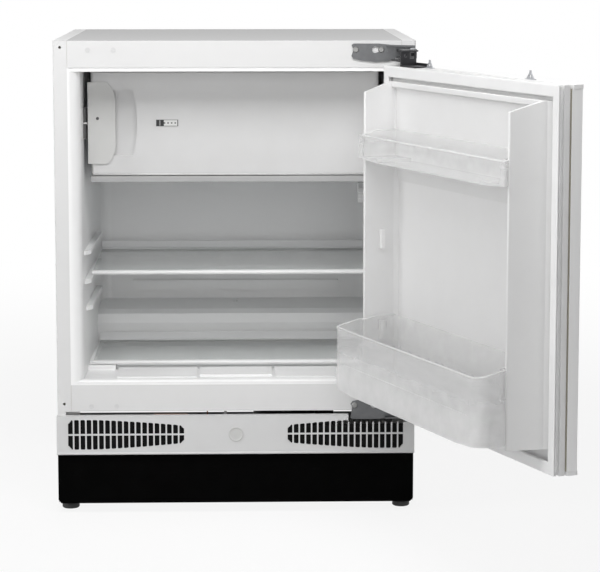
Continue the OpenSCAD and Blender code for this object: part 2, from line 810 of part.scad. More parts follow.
module low_shelf_trim() color(plastic_white) {
    shelf_trim(z_low_shelf, low_shelf_front, shelf_half);
    for (s = [-1, 1]) {
        x = s * (shelf_half + low_trim_half) / 2;
        dx = (low_trim_half - shelf_half) / 2;
        box([x - dx, low_shelf_front + trim_height / 2, z_low_shelf], [x + dx, low_shelf_front + trim_depth,
            z_low_shelf + trim_height]);
    }
}

module low_shelf_stop() color(plastic_white) shelf_stop(z_low_shelf, low_shelf_back, shelf_half);

module thermostat_housing() {
    y0 = thermo_front;
    y1 = thermo_back;
    z0 = z_thermo;
    z1 = z_thermo + thermo_height;
    color(plastic_white) difference() {
        intersection() {
            translate([0, 0, z0]) linear_extrude(thermo_height) polygon([
                [thermo_x, y0], [wall_x(y0), y0], [wall_x(y1), y1], [thermo_x + 10, y1], [thermo_x, y1 - 20]
            ]);
            along_y(y0, y1) polygon([
                [thermo_x, z0 + 6], [thermo_x + 6, z0], [half_w, z0], [half_w, z1], [thermo_x + 6, z1],
                [thermo_x, z1 - 6]
            ]);
        }
        box([thermo_x - 1, lamp_y, z0 + 8], [wall_x(y1) - 4, lamp_y + lamp_length, z1 - 8]);
        translate([thermo_x - 1, knob_y, (z0 + z1) / 2]) rotate([0, 90, 0]) {
            cylinder(r = 20, h = 4);
            cylinder(r = 3 + pin_clearance, h = 17);
        }
        translate([plunger_x, y0 - 1, z0 + 14]) rotate([-90, 0, 0])
            cylinder(r = plunger_r + pin_clearance, h = 22);
    }
}

module thermostat_knob() {
    z = z_thermo + thermo_height / 2;
    color(plastic_white) translate([thermo_x, knob_y, z]) rotate([0, 90, 0]) {
        difference() {
            translate([0, 0, -11]) cylinder(r = 18, h = 13);
            for (a = [0:30:330]) rotate(a) translate([19, 0, -12]) cylinder(r = 2.4, h = 11, $fn = 24);
        }
        translate([0, 0, 1]) cylinder(r = 3, h = 14);
        translate([-13, -1.5, -13]) cube([12, 3, 3]);
    }
}

module lamp_bulb() {
    z = z_thermo + thermo_height / 2;
    x = thermo_x + 11;
    color([0.95, 0.93, 0.85]) translate([x, lamp_y + lamp_length, z]) rotate([90, 0, 0]) {
        cylinder(r = 6, h = 22);
        translate([0, 0, 22]) cylinder(r1 = 6, r2 = 8.5, h = 6);
        translate([0, 0, 28]) cylinder(r = 8.5, h = 9);
        translate([0, 0, 37]) cylinder(r1 = 8.5, r2 = 7, h = 4);
        translate([0, 0, 41]) cylinder(r1 = 7, r2 = 3.5, h = 3);
    }
}

module lamp_cover() {
    z0 = z_thermo + 8;
    z1 = z_thermo + thermo_height - 8;
    color([0.97, 0.97, 0.93, 0.6]) {
        box([thermo_x - 1.6, lamp_y - 3, z0 - 2], [thermo_x, lamp_y + lamp_length + 3, z1 + 2]);
        for (k = [0:7]) {
            y = lamp_y + 3 + k * (lamp_length - 6) / 7;
            translate([thermo_x - 1.6, y, z0]) cylinder(r = 0.9, h = z1 - z0, $fn = 16);
        }
    }
}

// Plunger that the closing door's cheek presses
module light_switch() {
    color(plastic_white) translate([plunger_x, cheek_depth + 0.5, z_thermo + 14]) rotate([-90, 0, 0]) {
        cylinder(r1 = plunger_r - 1.2, r2 = plunger_r, h = 1.2);
        translate([0, 0, 1.2]) cylinder(r = plunger_r, h = 16);
    }
}

module base_tray() {
    h = half_w - sheet;
    z0 = leg_room;
    rear = foam_back;
    color(zinc) difference() {
        union() {
            box([-h, bend_r, z0], [h, rear, z0 + sheet]);
            for (s = [-1, 1]) {
                box([s > 0 ? h - sheet : -h, bend_r, z0], [s > 0 ? h : sheet - h, rear, z0 + 22]);
            }
            box([-h, bend_r, z0], [h, bend_r + sheet, z0 + 22]);
            box([-h, rear - sheet, z0], [h, rear, z0 + 46]);
            for (s = [-1, 1], y = foot_ys) {
                translate([s * foot_x, y, z0]) cylinder(r = stud_r + 5, h = nut_height + sheet);
            }
            for (x = [-66, 66], y = [-44, 44]) {
                translate([compressor_x + x, compressor_y + y, z0]) cylinder(r = 3, h = 15);
            }
            // Stiffening beads pressed in the pan
            for (k = [2, 4, 6.5]) {
                y = condenser_y + k * condenser_pitch;
                translate([-h + 40, y, z0 + sheet]) rotate([0, 90, 0]) cylinder(r = 3, h = 2 * h - 80);
            }
        }
        for (s = [-1, 1], y = foot_ys) {
            translate([s * foot_x, y, z0 - 1]) cylinder(r = stud_r + pin_clearance, h = nut_height + 4);
        }
        translate([lead_x, rear - sheet - 1, lead_z]) rotate([-90, 0, 0]) cylinder(r = 8, h = sheet + 2);
        box([-h, 0, z0 - 5], [h, rear + 1, z0]);
    }
}

// A levelling foot with its threaded stud, standing on the floor
module foot(x, y) {
    translate([x, y, 0]) {
        color(black) rotate_extrude() polygon([
            [0, 0], [foot_r - 1.5, 0], [foot_r, 1.5], [foot_r, foot_pad_height - 3],
            [foot_r - 2.5, foot_pad_height - 0.5], [8, foot_pad_height], [0, foot_pad_height]
        ]);
        color(zinc) {
            cylinder(r = stud_r, h = stud_top);
            translate([0, 0, foot_pad_height]) cylinder(r = 7.5, h = leg_room - foot_pad_height - 1, $fn = 6);
        }
    }
}

module foot_front_left() foot(-foot_x, foot_ys[0]);

module foot_front_right() foot(foot_x, foot_ys[0]);

module foot_rear_left() foot(-foot_x, foot_ys[1]);

module foot_rear_right() foot(foot_x, foot_ys[1]);

// Kickboard with cut lower corners over the front feet
module plinth() {
    z1 = z_grille - 0.5;
    h = half_w - 0.5;
    y = -9;
    color(black) {
        along_y(y, y + 3) polygon([
            [-h + 5, z_plinth], [h - 5, z_plinth], [h, z_plinth + 6], [h, z1], [-h, z1], [-h, z_plinth + 6]
        ]);
        for (s = [-1, 1]) {
            x = s * (h - 1.5);
            box([x - 1.5, y + 3, z_plinth + 6], [x + 1.5, 0, z1]);
        }
        box([-h + 5, y + 3, z_plinth], [h - 5, 0, z_plinth + 2.5]);
        for (x = [-200, -70, 70, 200]) {
            box([x - 1.2, y + 3, z_plinth + 2.5], [x + 1.2, 0, z1]);
        }
    }
}

// Half height of a vent at a distance from its tall end
vent_length = slot_count * slot_pitch;
function vent_half(u) =
    u < 8 ? vent_half_tall - 0.7 * (8 - u)
    : vent_half_tall - (vent_half_tall - vent_half_low) * pow(max(0, u - 40) / (vent_length - 40), 1.4);

// One slot between two heights of opposite slant, with its outer corners cut back
module slot(u, low, high_1, high_2) {
    c = 1.8;
    polygon([
        [u, low], [u + slot_width, low], [u + slot_width, high_2 - c],
        [u + slot_width - 0.3 * c, high_2 - 0.3 * c], [u + slot_width - c, high_2],
        [u + c, high_1], [u + 0.3 * c, high_1 - 0.3 * c], [u, high_1 - c]
    ]);
}

// Two rows of slots that taper to a round nose
module vent() {
    nose = vent_length - 12;
    for (k = [0:slot_count - 1]) {
        u = k * slot_pitch;
        v = u + slot_width;
        n1 = u < nose ? 1 : sqrt(max(0.1, 1 - pow((u - nose) / 14, 2)));
        n2 = v < nose ? 1 : sqrt(max(0.1, 1 - pow((v - nose) / 14, 2)));
        for (s = [-1, 1]) {
            mirror([0, s < 0 ? 1 : 0]) slot(u, vent_bar / 2, vent_half(u) * n1, vent_half(v) * n2);
        }
    }
}

module plinth_grille() {
    z0 = z_grille;
    z1 = z0 + grille_height;
    h = half_w + 0.8;
    y0 = -grille_depth;
    zc = z0 + grille_height * 0.52;
    notch_x = hinge_x - 4;
    color([0.88, 0.88, 0.88]) difference() {
        union() {
            difference() {
                box([-h, y0, z0], [h, 0, z1]);
                box([-h + grille_wall, y0 + grille_wall, z0 + grille_wall],
                    [h - grille_wall, 1, z1 - grille_wall]);
            }
            translate([-h, y0, z0 + 2]) rotate([0, 90, 0]) cylinder(r = 2, h = 2 * h);
            for (x = [-60, 60]) {
                box([x - 1.2, y0 + grille_wall, z0 + grille_wall], [x + 1.2, 0, z1 - grille_wall]);
            }
            // Shallow round panel in the middle, left plain
            translate([0, y0, zc]) rotate([90, 0, 0]) cylinder(r = 13, h = 0.5);
        }
        along_y(y0 - 5, y0 + grille_wall + 1) for (m = [0, 1]) {
            mirror([m, 0]) translate([-h + vent_margin, zc]) vent();
        }
        // Room for the lower hinge plate and its screws
        box([notch_x, -hinge_sheet - 2, z1 - 15], [h + 1, 1, z1 + 1]);
        box([notch_x, y0 - 1, z1 - 12], [h + 1, 1, z1 + 1]);
    }
}

module compressor() {
    r = compressor_r;
    h = compressor_height;
    color([0.08, 0.08, 0.09]) translate([compressor_x, compressor_y, z_compressor]) {
        rotate_extrude() polygon([
            [0, 2], [r * 0.6, 2], [r * 0.86, 12], [r * 0.96, 30], [r * 0.98, h * 0.52], [r, h * 0.52],
            [r, h * 0.52 + 5], [r * 0.97, h * 0.52 + 5], [r * 0.96, h * 0.72], [r * 0.86, h * 0.88],
            [r * 0.62, h * 0.97], [r * 0.3, h], [0, h]
        ]);
        difference() {
            box([-78, -54, 0], [78, 54, 2.5]);
            for (x = [-66, 66], y = [-44, 44]) translate([x, y, -1]) cylinder(r = 5.5, h = 5);
        }
        // Discharge, filling and suction stubs
        for (z = [condenser_z - z_compressor, 85, 105]) {
            translate([-r + 6, 0, z]) rotate([0, -90, 0]) cylinder(r = tube_r + 0.8, h = 20);
        }
        // Suction line up into the foam
        translate([-r - 12, 0, 105]) rotate([0, -90, 0]) cylinder(r = tube_r, h = 56);
        translate([-r - 68, 0, 105 + elbow_r]) rotate([90, 0, 0]) rotate(180)
            rotate_extrude(angle = 90, $fn = 32) translate([elbow_r, 0]) circle(tube_r, $fn = 24);
        translate([-r - 68 - elbow_r, 0, 105 + elbow_r])
            cylinder(r = tube_r, h = z_niche - z_compressor - 105 - elbow_r);
    }
}

module compressor_grommets() {
    color([0.1, 0.1, 0.1]) for (x = [-66, 66], y = [-44, 44]) {
        translate([compressor_x + x, compressor_y + y, leg_room + sheet]) difference() {
            union() {
                cylinder(r = 10, h = z_compressor - leg_room - sheet);
                cylinder(r = 5.4, h = z_compressor - leg_room + 1.5);
            }
            translate([0, 0, -1]) cylinder(r = 3.05, h = 30);
        }
    }
}

module terminal_box() {
    x = compressor_x + compressor_r - 3;
    color([0.12, 0.12, 0.12]) difference() {
        box([x, compressor_y - 24, z_compressor + 20], [x + 34, compressor_y + 24, z_compressor + 74]);
        translate([compressor_x, compressor_y, z_compressor]) cylinder(r = compressor_r * 0.98 + 0.1, h = 100);
    }
}

elbow_r = 11;

// A level tube through points joined by runs along X and Y, with round elbows
module pipe_run(points, z) {
    n = len(points);
    for (i = [0:n - 2]) {
        a = points[i];
        b = points[i + 1];
        d = (b - a) / norm(b - a);
        s = a + (i > 0 ? elbow_r : 0) * d;
        e = b - (i < n - 2 ? elbow_r : 0) * d;
        translate([s[0], s[1], z]) rotate(atan2(d[1], d[0])) rotate([0, 90, 0])
            cylinder(r = tube_r, h = norm(e - s), $fn = 24);
        if (i < n - 2) {
            q = (points[i + 2] - b) / norm(points[i + 2] - b);
            centre = b - elbow_r * d + elbow_r * q;
            turn = d[0] * q[1] - d[1] * q[0];
            translate([centre[0], centre[1], z])
                rotate(atan2(-q[1], -q[0]) - (turn < 0 ? 90 : 0)) rotate_extrude(angle = 90, $fn = 32)
                translate([elbow_r, 0]) circle(tube_r, $fn = 24);
        }
    }
}

condenser_z = leg_room + 78;
condenser_rows = 6;
condenser_y = 36;
condenser_span = compressor_y - compressor_r - condenser_y;
condenser_pitch = condenser_span / 10;
condenser_half = half_w - 88;
condenser_last = condenser_y + (condenser_rows - 1) * condenser_pitch;

// Flat serpentine tube between the two posts
module condenser() {
    color([0.1, 0.1, 0.1]) {
        for (k = [0:condenser_rows - 1]) {
            translate([-condenser_half, condenser_y + k * condenser_pitch, condenser_z]) rotate([0, 90, 0])
                cylinder(r = tube_r, h = 2 * condenser_half, $fn = 24);
        }
        for (k = [0:condenser_rows - 2]) {
            s = k % 2 == 0 ? 1 : -1;
            translate([s * condenser_half, condenser_y + (k + 0.5) * condenser_pitch, condenser_z])
                rotate(s > 0 ? -90 : 90) rotate_extrude(angle = 180, $fn = 32)
                translate([condenser_pitch / 2, 0]) circle(tube_r, $fn = 24);
        }
        for (x = [30 - condenser_half, condenser_half - 30], k = [0, condenser_rows - 1]) {
            y = condenser_y + k * condenser_pitch;
            difference() {
                box([x - 6, y - 5, leg_room + sheet], [x + 6, y + 5, condenser_z + 6]);
                box([x - 7, y - 3, leg_room + sheet + 2], [x + 7, y + 3, condenser_z - 6]);
            }
        }
        // Hot gas line from the compressor
        x0 = compressor_x - compressor_r - 50;
        x1 = -condenser_half - 22;
        y = condenser_last + condenser_pitch;
        pipe_run([
            [x0 + 36, compressor_y], [x0, compressor_y], [x0, y], [x1, y], [x1, condenser_last],
            [-condenser_half, condenser_last]
        ], condenser_z);
    }
}

module condenser_wires() {
    y0 = condenser_y - 8;
    y1 = condenser_last + 8;
    color([0.1, 0.1, 0.1]) for (k = [0:19]) {
        x = -190 + 20 * k;
        for (s = [-1, 1]) {
            translate([x, y0, condenser_z + s * (tube_r + 0.7)]) rotate([-90, 0, 0])
                cylinder(r = 0.7, h = y1 - y0, $fn = 16);
        }
    }
}

// Drier capsule with its two tube ends, lying over the pan on two posts
module filter_drier() {
    x0 = -condenser_half + 30;
    x1 = -condenser_half - 45;
    z = condenser_z;
    y = condenser_last + 2.6 * condenser_pitch;
    color([0.72, 0.42, 0.25]) {
        translate([x0, y, z]) rotate([0, 90, 0]) rotate_extrude() polygon([
            [0, 0], [tube_r, 0], [tube_r, 20], [9, 32], [9, 92], [1.2, 104], [1.2, 128], [0, 128]
        ]);
        pipe_run([
            [-condenser_half, condenser_y], [x1, condenser_y], [x1, y], [x0, y]
        ], z);
        // Capillary up into the foam
        translate([x0 + 128, y, z - 1.2]) cylinder(r = 1.2, h = z_rail + sheet - z + 1.2);
        for (x = [x0 + 44, x0 + 80]) {
            box([x - 4, y - 9, leg_room + sheet], [x + 4, y + 9, z - 6]);
        }
    }
}

module drip_tray() {
    z = z_compressor + compressor_height + 0.2;
    x0 = -30;
    x1 = compressor_x + 56;
    y0 = compressor_y - 46;
    y1 = foam_back - 14;
    color([0.2, 0.2, 0.2]) difference() {
        union() {
            along_x(x0, x1) polygon([
                [y0 + 6, z], [y1 - 6, z], [y1, z + 20], [y0, z + 20]
            ]);
            translate([0, 0, z + 18]) linear_extrude(2) rounded_rect([x0 - 3, y0 - 3], [x1 + 3, y1 + 3], 6);
        }
        along_x(x0 + 2, x1 - 2) polygon([
            [y0 + 8, z + 2], [y1 - 8, z + 2], [y1 - 2, z + 21], [y0 + 2, z + 21]
        ]);
    }
}

module drain_tube() {
    z0 = z_compressor + compressor_height + 10;
    z1 = step_top(drain_y - drain_r - 2) - 0.1;
    color([0.85, 0.85, 0.85]) translate([0, drain_y, 0]) difference() {
        translate([0, 0, z0]) cylinder(r = drain_r + 2, h = z1 - z0);
        translate([0, 0, z0 - 1]) cylinder(r = drain_r, h = z1 - z0 + 2);
    }
}

// Grommet for the mains lead in the back flange
module lead_gland() {
    y = foam_back - sheet / 2;
    color(black) translate([lead_x, y, lead_z]) rotate([-90, 0, 0]) difference() {
        union() {
            translate([0, 0, -7]) cylinder(r = 8, h = 14);
            translate([0, 0, -sheet / 2 - 2]) cylinder(r = 11, h = 2);
            translate([0, 0, sheet / 2]) cylinder(r = 11, h = 2);
        }
        translate([0, 0, -8]) cylinder(r = lead_hole_r, h = 16);
    }
}

// Hinge pieces are drawn for the top hinge, with heights from the end of the door upwards
module hinge_at(top) {
    if (top) {
        translate([0, 0, z_door_top]) children();
    } else {
        translate([0, 0, z_door]) mirror([0, 0, 1]) children();
    }
}

// Outline of the cabinet plate, seen from the front, with its notched end and its keyhole
module plate_outline(low, high, screw) {
    x0 = hinge_x;
    x1 = hinge_outer_x;
    difference() {
        polygon([
            [x0, high - 2], [x0 + 4, high], [x0 + 45, high], [x0 + 66, high - 2], [x1, high - 3],
            [x1, far_ear + hinge_sheet], [x1, near_ear], [ear_left + 4, near_ear],
            [x0 + 62, low - 1], [x0 + 40, low - 2.5], [x0 + 16, low], [x0 + 3, low + 3], [x0, low + 8],
            [x0 + 3.5, screw]
        ]);
        translate([plug_x, screw]) circle(plate_hole_r);
        translate([plug_x + hinge_screw_span, screw]) {
            circle(plate_hole_r);
            translate([-10, 0]) circle(5.4);
            polygon([[-9, 5.2], [0, plate_hole_r - 0.2], [0, 0.2 - plate_hole_r], [-9, -5.2]]);
        }
    }
}

module hinge_bracket(low, high, screw) {
    p = [pivot_x, pivot_y];
    color(zinc) difference() {
        union() {
            along_y(-hinge_sheet, 0) plate_outline(low, high, screw);
            for (z = [near_ear, far_ear]) translate([0, 0, z]) linear_extrude(hinge_sheet) {
                translate(p) circle(8);
                translate(link_ground) circle(7);
                polygon([
                    [ear_left, 0], [hinge_outer_x, 0], [hinge_outer_x, link_ground[1] + 2],
                    [link_ground[0] + 6, link_ground[1] - 4], [p[0] + 3, p[1] - 7.4], [p[0] - 7, p[1] - 4],
                    [p[0] - 8, p[1] + 6], [ear_left, -14]
                ]);
            }
            // Stiffening flange along the plate's free edge, and two raised rivets
            along_y(-12, 0) polygon([
                [hinge_x + 58, high - 4], [hinge_outer_x - 6, high - 5.4],
                [hinge_outer_x - 6, high - 3.2], [hinge_x + 58, high - 2]
            ]);
            for (x = [hinge_x + 62, hinge_x + 72]) {
                translate([x, -hinge_sheet, screw - 2]) rotate([90, 0, 0]) cylinder(r = 3, h = 1.2);
            }
        }
        translate([p[0], p[1], near_ear - 1]) cylinder(r = pivot_pin_r + fixed_gap, h = hinge_sheet + 2);
        translate([link_ground[0], link_ground[1], near_ear - 1]) cylinder(r = link_pin_r + fixed_gap, h = 30);
    }
}

module hinge_bracket_top() hinge_at(true) hinge_bracket(5, 33, 23);

module hinge_bracket_bottom() hinge_at(false) hinge_bracket(3, 36, 12.5);

// The pins are riveted in the ears: one carries the door and one carries the guide link
module hinge_pins() {
    color([0.35, 0.35, 0.37]) for (top = [true, false]) hinge_at(top) {
        translate([pivot_x, pivot_y, eye_level - 2.2]) {
            cylinder(r = pivot_pin_r, h = near_ear + hinge_sheet - eye_level + 2.2);
            cylinder(r = pivot_pin_r + 2, h = 1.7);
        }
        translate([link_ground[0], link_ground[1], near_ear]) {
            cylinder(r = link_pin_r, h = far_ear + hinge_sheet - near_ear);
            translate([0, 0, far_ear + hinge_sheet - near_ear]) cylinder(r = link_pin_r + 1.8, h = 1.4);
        }
    }
}

module hinge_screws() {
    color(zinc) for (top = [true, false]) hinge_at(top) {
        z = top ? 23 : 12.5;
        for (x = [plug_x, plug_x + hinge_screw_span]) {
            translate([x, -hinge_sheet, z]) rotate([90, 0, 0]) difference() {
                cylinder(r1 = 5, r2 = 3.6, h = 1.8);
                translate([-2.6, -0.5, 1]) cube([5.2, 1, 2]);
                translate([-0.5, -2.6, 1]) cube([1, 5.2, 2]);
            }
            translate([x, -hinge_sheet, z]) rotate([-90, 0, 0]) cylinder(r = 2.2, h = hinge_sheet + sheet);
        }
    }
}

// Forked link with a window, pinned at the bracket and guided in the door's arm
module guide_link() {
    a = link_ground;
    b = link_end_open;
    u = (b - a) / link_length;
    n = [-u[1], u[0]];
    m = a + u * link_length * 0.45 + n * 8;
    q = a + u * link_length * 0.12 + n * 8.5;
    color([0.2, 0.2, 0.21]) {
        difference() {
            translate([0, 0, link_level]) linear_extrude(link_height) {
                translate(a) circle(6.3);
                translate(b) circle(4.6);
                polygon([
                    a - n * 4.6, a + n * 6.3, q, m, b + n * 4.6, b - n * 4.4
                ]);
            }
            translate([a[0], a[1], link_level - 1]) cylinder(r = link_pin_r + pin_clearance, h = link_height + 2);
            // Window between the fork's two plates
            translate([a[0], a[1], link_level + 2]) rotate(atan2(u[1], u[0]))
                translate([8.5, -30, 0]) cube([link_length - 15, 60, link_height - 4]);
        }
        translate([b[0], b[1], eye_level - 0.6]) cylinder(r = link_pin_r, h = link_level - eye_level + 0.7);
    }
}

module guide_link_top() hinge_at(true) guide_link();

module guide_link_bottom() hinge_at(false) guide_link();

// Arm on the end of the door with the eye for the pivot and the slot for the link's pin. Its post
// rises to a height, and a tall one has a window and a round hole
module door_arm(post) {
    p = [pivot_x, pivot_y];
    w = link_pin_r + 1.3;
    slot_0 = link_slot_inner - 0.4;
    slot_1 = link_radius + 0.4;
    x0 = pivot_x - 92;
    rise = pivot_x - 40;
    color([0.2, 0.2, 0.21]) difference() {
        union() {
            translate([0, 0, eye_level]) linear_extrude(hinge_sheet) {
                translate(p) circle(6.6);
                polygon([
                    p + [0, -5.4], p + [4, 6], p + [-2, 26], [rise, -9], [rise, pivot_y + 1], p + [-14, -1]
                ]);
            }
            box([rise - hinge_sheet, pivot_y + 1, 0], [rise, -9, post]);
            if (post > arm_window) {
                box([rise - 9, pivot_y + 1, post - hinge_sheet], [rise, -9, post]);
            }
            box([x0, pivot_y + 1, 0], [rise, -9, arm_base]);
            box([x0 + 6, pivot_y + 1, 0], [rise, pivot_y + 2.5, eye_level - 1]);
        }
        translate([p[0], p[1], eye_level - 1]) cylinder(r = pivot_pin_r + pin_clearance, h = hinge_sheet + 2);
        translate([p[0], p[1], eye_level - 1]) rotate(link_start_angle) {
            translate([slot_0, -w, 0]) cube([slot_1 - slot_0, 2 * w, hinge_sheet + 2]);
            for (u = [slot_0, slot_1]) translate([u, 0, 0]) cylinder(r = w, h = hinge_sheet + 2);
        }
        for (x = [x0 + 12, x0 + 38]) {
            translate([x, -20, -1]) cylinder(r = 2.3, h = arm_base + 2);
        }
        box([rise - 4, pivot_y + 4, arm_window], [rise + 1, pivot_y + 13, arm_post - 3]);
        translate([rise - 4, -17.5, arm_window + 5]) rotate([0, 90, 0]) cylinder(r = 3, h = 5);
    }
}

module door_arm_top() on_door() hinge_at(true) door_arm(arm_post);

module door_arm_bottom() on_door() hinge_at(false) door_arm(eye_level + 0.5);

module door_skin() {
    y0 = -door_thickness;
    z0 = z_door + end_cap_height;
    z1 = z_door_top - end_cap_height;
    r = 3;
    color(steel_white) on_door() translate([0, 0, z0]) linear_extrude(z1 - z0) difference() {
        union() {
            translate([-door_half, y0 + r]) square([2 * door_half, skin_depth - r]);
            translate([-door_half + r, y0]) square([2 * (door_half - r), r]);
            for (s = [-1, 1]) translate([s * (door_half - r), y0 + r]) circle(r);
        }
        translate([-door_half + sheet, y0 + sheet]) square([2 * (door_half - sheet), skin_depth]);
    }
}

module door_end_caps() {
    y0 = -door_thickness - 0.6;
    color(plastic_white) on_door() for (z = [z_door, z_door_top - end_cap_height]) {
        translate([0, 0, z]) linear_extrude(end_cap_height)
            rounded_rect([-door_half - 0.6, y0], [door_half + 0.6, skin_back], 3);
    }
}

module door_foam() {
    e = 1;
    color([0.93, 0.86, 0.62]) on_door() {
        box([-door_half + e, -door_thickness + e, z_door + end_cap_height],
            [door_half - e, skin_back, z_door_top - end_cap_height]);
        box([-door_half + 10, skin_back, z_door + 10], [door_half - 10, liner_plane - 3.4, z_door_top - 10]);
    }
}

// A frame around the door between two depths, a number of millimetres in from its edge
module door_ring(y0, y1, inset, width) {
    w = door_half - inset;
    difference() {
        box([-w, y0, z_door + inset], [w, y1, z_door_top - inset]);
        box([-w + width, y0 - 1, z_door + inset + width], [w - width, y1 + 1, z_door_top - inset - width]);
    }
}

// Distance from the middle to a cheek's inner face, which leans over its projection
function cheek_inside(y) =
    cheek_half - cheek_root - y * (cheek_lean + cheek_tip - cheek_root) / (cheek_depth - cheek_tip / 2);

// One cheek of the door's liner on the right side, as a plan
module cheek_plan() {
    y1 = cheek_depth - cheek_tip / 2;
    polygon([
        [dike_half, liner_plane], [cheek_half, 0], [cheek_tip_half, y1],
        [cheek_inside(y1), y1], [cheek_inside(0), 0], [cheek_inside(0) - 3, liner_plane]
    ]);
    translate([cheek_tip_half - cheek_tip / 2, y1]) circle(cheek_tip / 2);
}

// Width of the groove between the door's skin and its liner's edge
edge_groove = 3.6;

// Door liner: edge frame, seal seat, raised border, two cheeks and a stepped panel
module door_liner() {
    z0 = z_dike;
    z1 = z_dike_top;
    inner = cheek_inside(0);
    color(plastic_white) on_door() {
        door_ring(skin_back, skin_back + edge_groove, 5, 5);
        door_ring(skin_back + edge_groove, liner_plane - 1.4, 0.5, 9.5);
        box([-door_half + 0.5, liner_plane - 3.4, z_door + 0.5], [door_half - 0.5, liner_plane, z_door_top - 0.5]);
        both_sides() difference() {
            translate([0, 0, z0]) linear_extrude(z1 - z0) cheek_plan();
            // The cheek's upper end slants down towards its tip
            translate([cavity_half, 0, 0]) rotate([0, -90, 0]) linear_extrude(60)
                polygon([[z1, 4], [z1 - 16, cheek_depth + 1], [z1 + 1, cheek_depth + 1], [z1 + 1, 4]]);
        }
        // Border between the cheeks, above and below the panel
        for (z = [[z0, z_lower_rack - 0.6], [z1 - 9, z1]]) {
            along_x(-inner - 4, inner + 4) polygon([
                [liner_plane, z[0] - 1], [liner_plane, z[1]], [3.5, z[1]], [4.5, z[1] - 1],
                [4.5, z[0] + 1], [3.5, z[0]]
            ]);
        }
        // Panel, set back under the step that lies below the upper rack
        along_x(-inner - 2, inner + 2) polygon([
            [liner_plane, z0], [panel_recess, z0], [panel_recess, z_panel_step - 24],
            [panel_face, z_panel_step], [panel_face, z1], [liner_plane, z1]
        ]);
    }
}

// Magnetic seal: a flange and a softer bulb, all around the door
module door_seal() {
    z0 = liner_plane;
    color([0.9, 0.9, 0.89]) on_door() {
        door_ring(z0, z0 + 3.2, 5, seal_width - 5.5);
        door_ring(z0 + 3.2, -0.5, 0.5, seal_width - 4);
    }
}

// Bosses inside the cheeks that carry the racks, and a spare pair between them
module rack_bosses() {
    x0 = rack_half + 1.2;
    color(plastic_white) on_door() both_sides() {
        for (z = [z_upper_hook, z_spare_boss, z_lower_hook]) {
            translate([0, 0, z - 30]) linear_extrude(30 - seat_gap) {
                e = fixed_gap;
                polygon([
                    [x0 + 2, hook_y - 4], [cheek_inside(hook_y - 4) - e, hook_y - 4],
                    [cheek_inside(hook_y + 4) - e, hook_y + 4], [x0 + 2, hook_y + 4],
                    [x0, hook_y + 2], [x0, hook_y - 2]
                ]);
                for (y = [-2, 2]) translate([x0 + 2, hook_y + y]) circle(2);
            }
        }
    }
}

// Two pressed clips on the door's top edge for hanging a furniture door
module furniture_clips() {
    y = -door_thickness + 13;
    color([0.25, 0.25, 0.26]) on_door() for (x = [-door_half + 128, door_half - 114]) {
        box([x - 12, y - 3, z_door_top], [x + 12, y + 3, z_door_top + 1.2]);
        difference() {
            along_y(y - 0.8, y + 0.8) translate([x, z_door_top])
                polygon([[-11, 1], [11, 1], [3, 9.5], [2, 13.5], [-2, 13.5], [-3, 9.5]]);
            translate([x, y - 2, z_door_top + 5]) rotate([-90, 0, 0]) cylinder(r = 2.6, h = 4);
        }
    }
}

// Plan of a rack, made smaller by g: its body between the cheeks and its wider front, whose corner
// at the door's free edge has a radius
module rack_plan(depth, free_r, g) {
    w = rack_half - g;
    f = rack_front_half - g;
    y0 = rack_front_y + g;
    y1 = depth - g;
    translate([-w, panel_face + 4 + g]) square([2 * w, rack_front_y - panel_face + 1]);
    intersection() {
        translate([-f, y0]) square([2 * f, y1 - y0]);
        for (s = [-1, 1]) {
            c = min((s < 0 ? free_r : rack_hinge_r) - g, y1 - y0 - 1);
            translate([s < 0 ? -f : 0, y0]) square([f, y1 - c - y0]);
            translate([s < 0 ? c - f : 0, y0]) square([f - c, y1 - y0]);
            translate([s * (f - c), y1 - c]) circle(c);
        }
    }
}

// A rack as an open tray, cut to a rim that slants, with hooks over its bosses and a shallow band
// across its front wall
module rack(z, depth, front_height, back_height, hook_z, free_r, band) {
    on_door() {
        difference() {
            intersection() {
                translate([0, 0, z]) linear_extrude(back_height) rack_plan(depth, free_r, 0);
                along_x(-half_w, half_w) polygon([
                    [-20, z], [depth + 1, z], [depth + 1, z + front_height],
                    [depth - rack_wall, z + front_height],
                    [rack_front_y - 20, z + back_height], [-20, z + back_height]
                ]);
                along_y(-20, depth + 1) polygon([
                    [-rack_front_half - 1, z + 4], [-rack_half * 0.78, z], [rack_half * 0.78, z],
                    [rack_front_half + 1, z + 4],
                    [rack_front_half + 1, z + back_height], [-rack_front_half - 1, z + back_height]
                ]);
            }
            translate([0, 0, z + rack_wall + 4]) linear_extrude(back_height) rack_plan(depth, free_r, rack_wall);
            translate([0, 0, z + rack_wall]) linear_extrude(back_height) intersection() {
                rack_plan(depth, free_r, rack_wall);
                translate([-rack_half * 0.74, -20]) square([rack_half * 1.48, depth + 40]);
            }
            if (band > 0) {
                box([free_r + 4 - rack_front_half, depth - band, z + front_height * 0.45],
                    [rack_front_half - rack_hinge_r - 8, depth + 1, z + front_height * 0.74]);
            }
        }
        both_sides() {
            box([rack_half - 0.5, hook_y - hook_width / 2, hook_z], [rack_half + hook_reach, hook_y
                + hook_width / 2, hook_z + 2.5]);
            for (y = [hook_y - hook_width / 2, hook_y + hook_width / 2 - 2]) {
                box([rack_half - 0.5, y, hook_z - 12], [rack_half + 2.2, y + 2, hook_z]);
            }
        }
    }
}

module upper_rack() color(clear)
    rack(z_upper_rack, upper_rack_depth, upper_rack_height, upper_rack_height + 8, z_upper_hook, rack_hinge_r, 0);

module lower_rack() color(clear)
    rack(z_lower_rack, lower_rack_depth, lower_rack_height, lower_rack_height + 15, z_lower_hook, rack_free_r, 0.8);

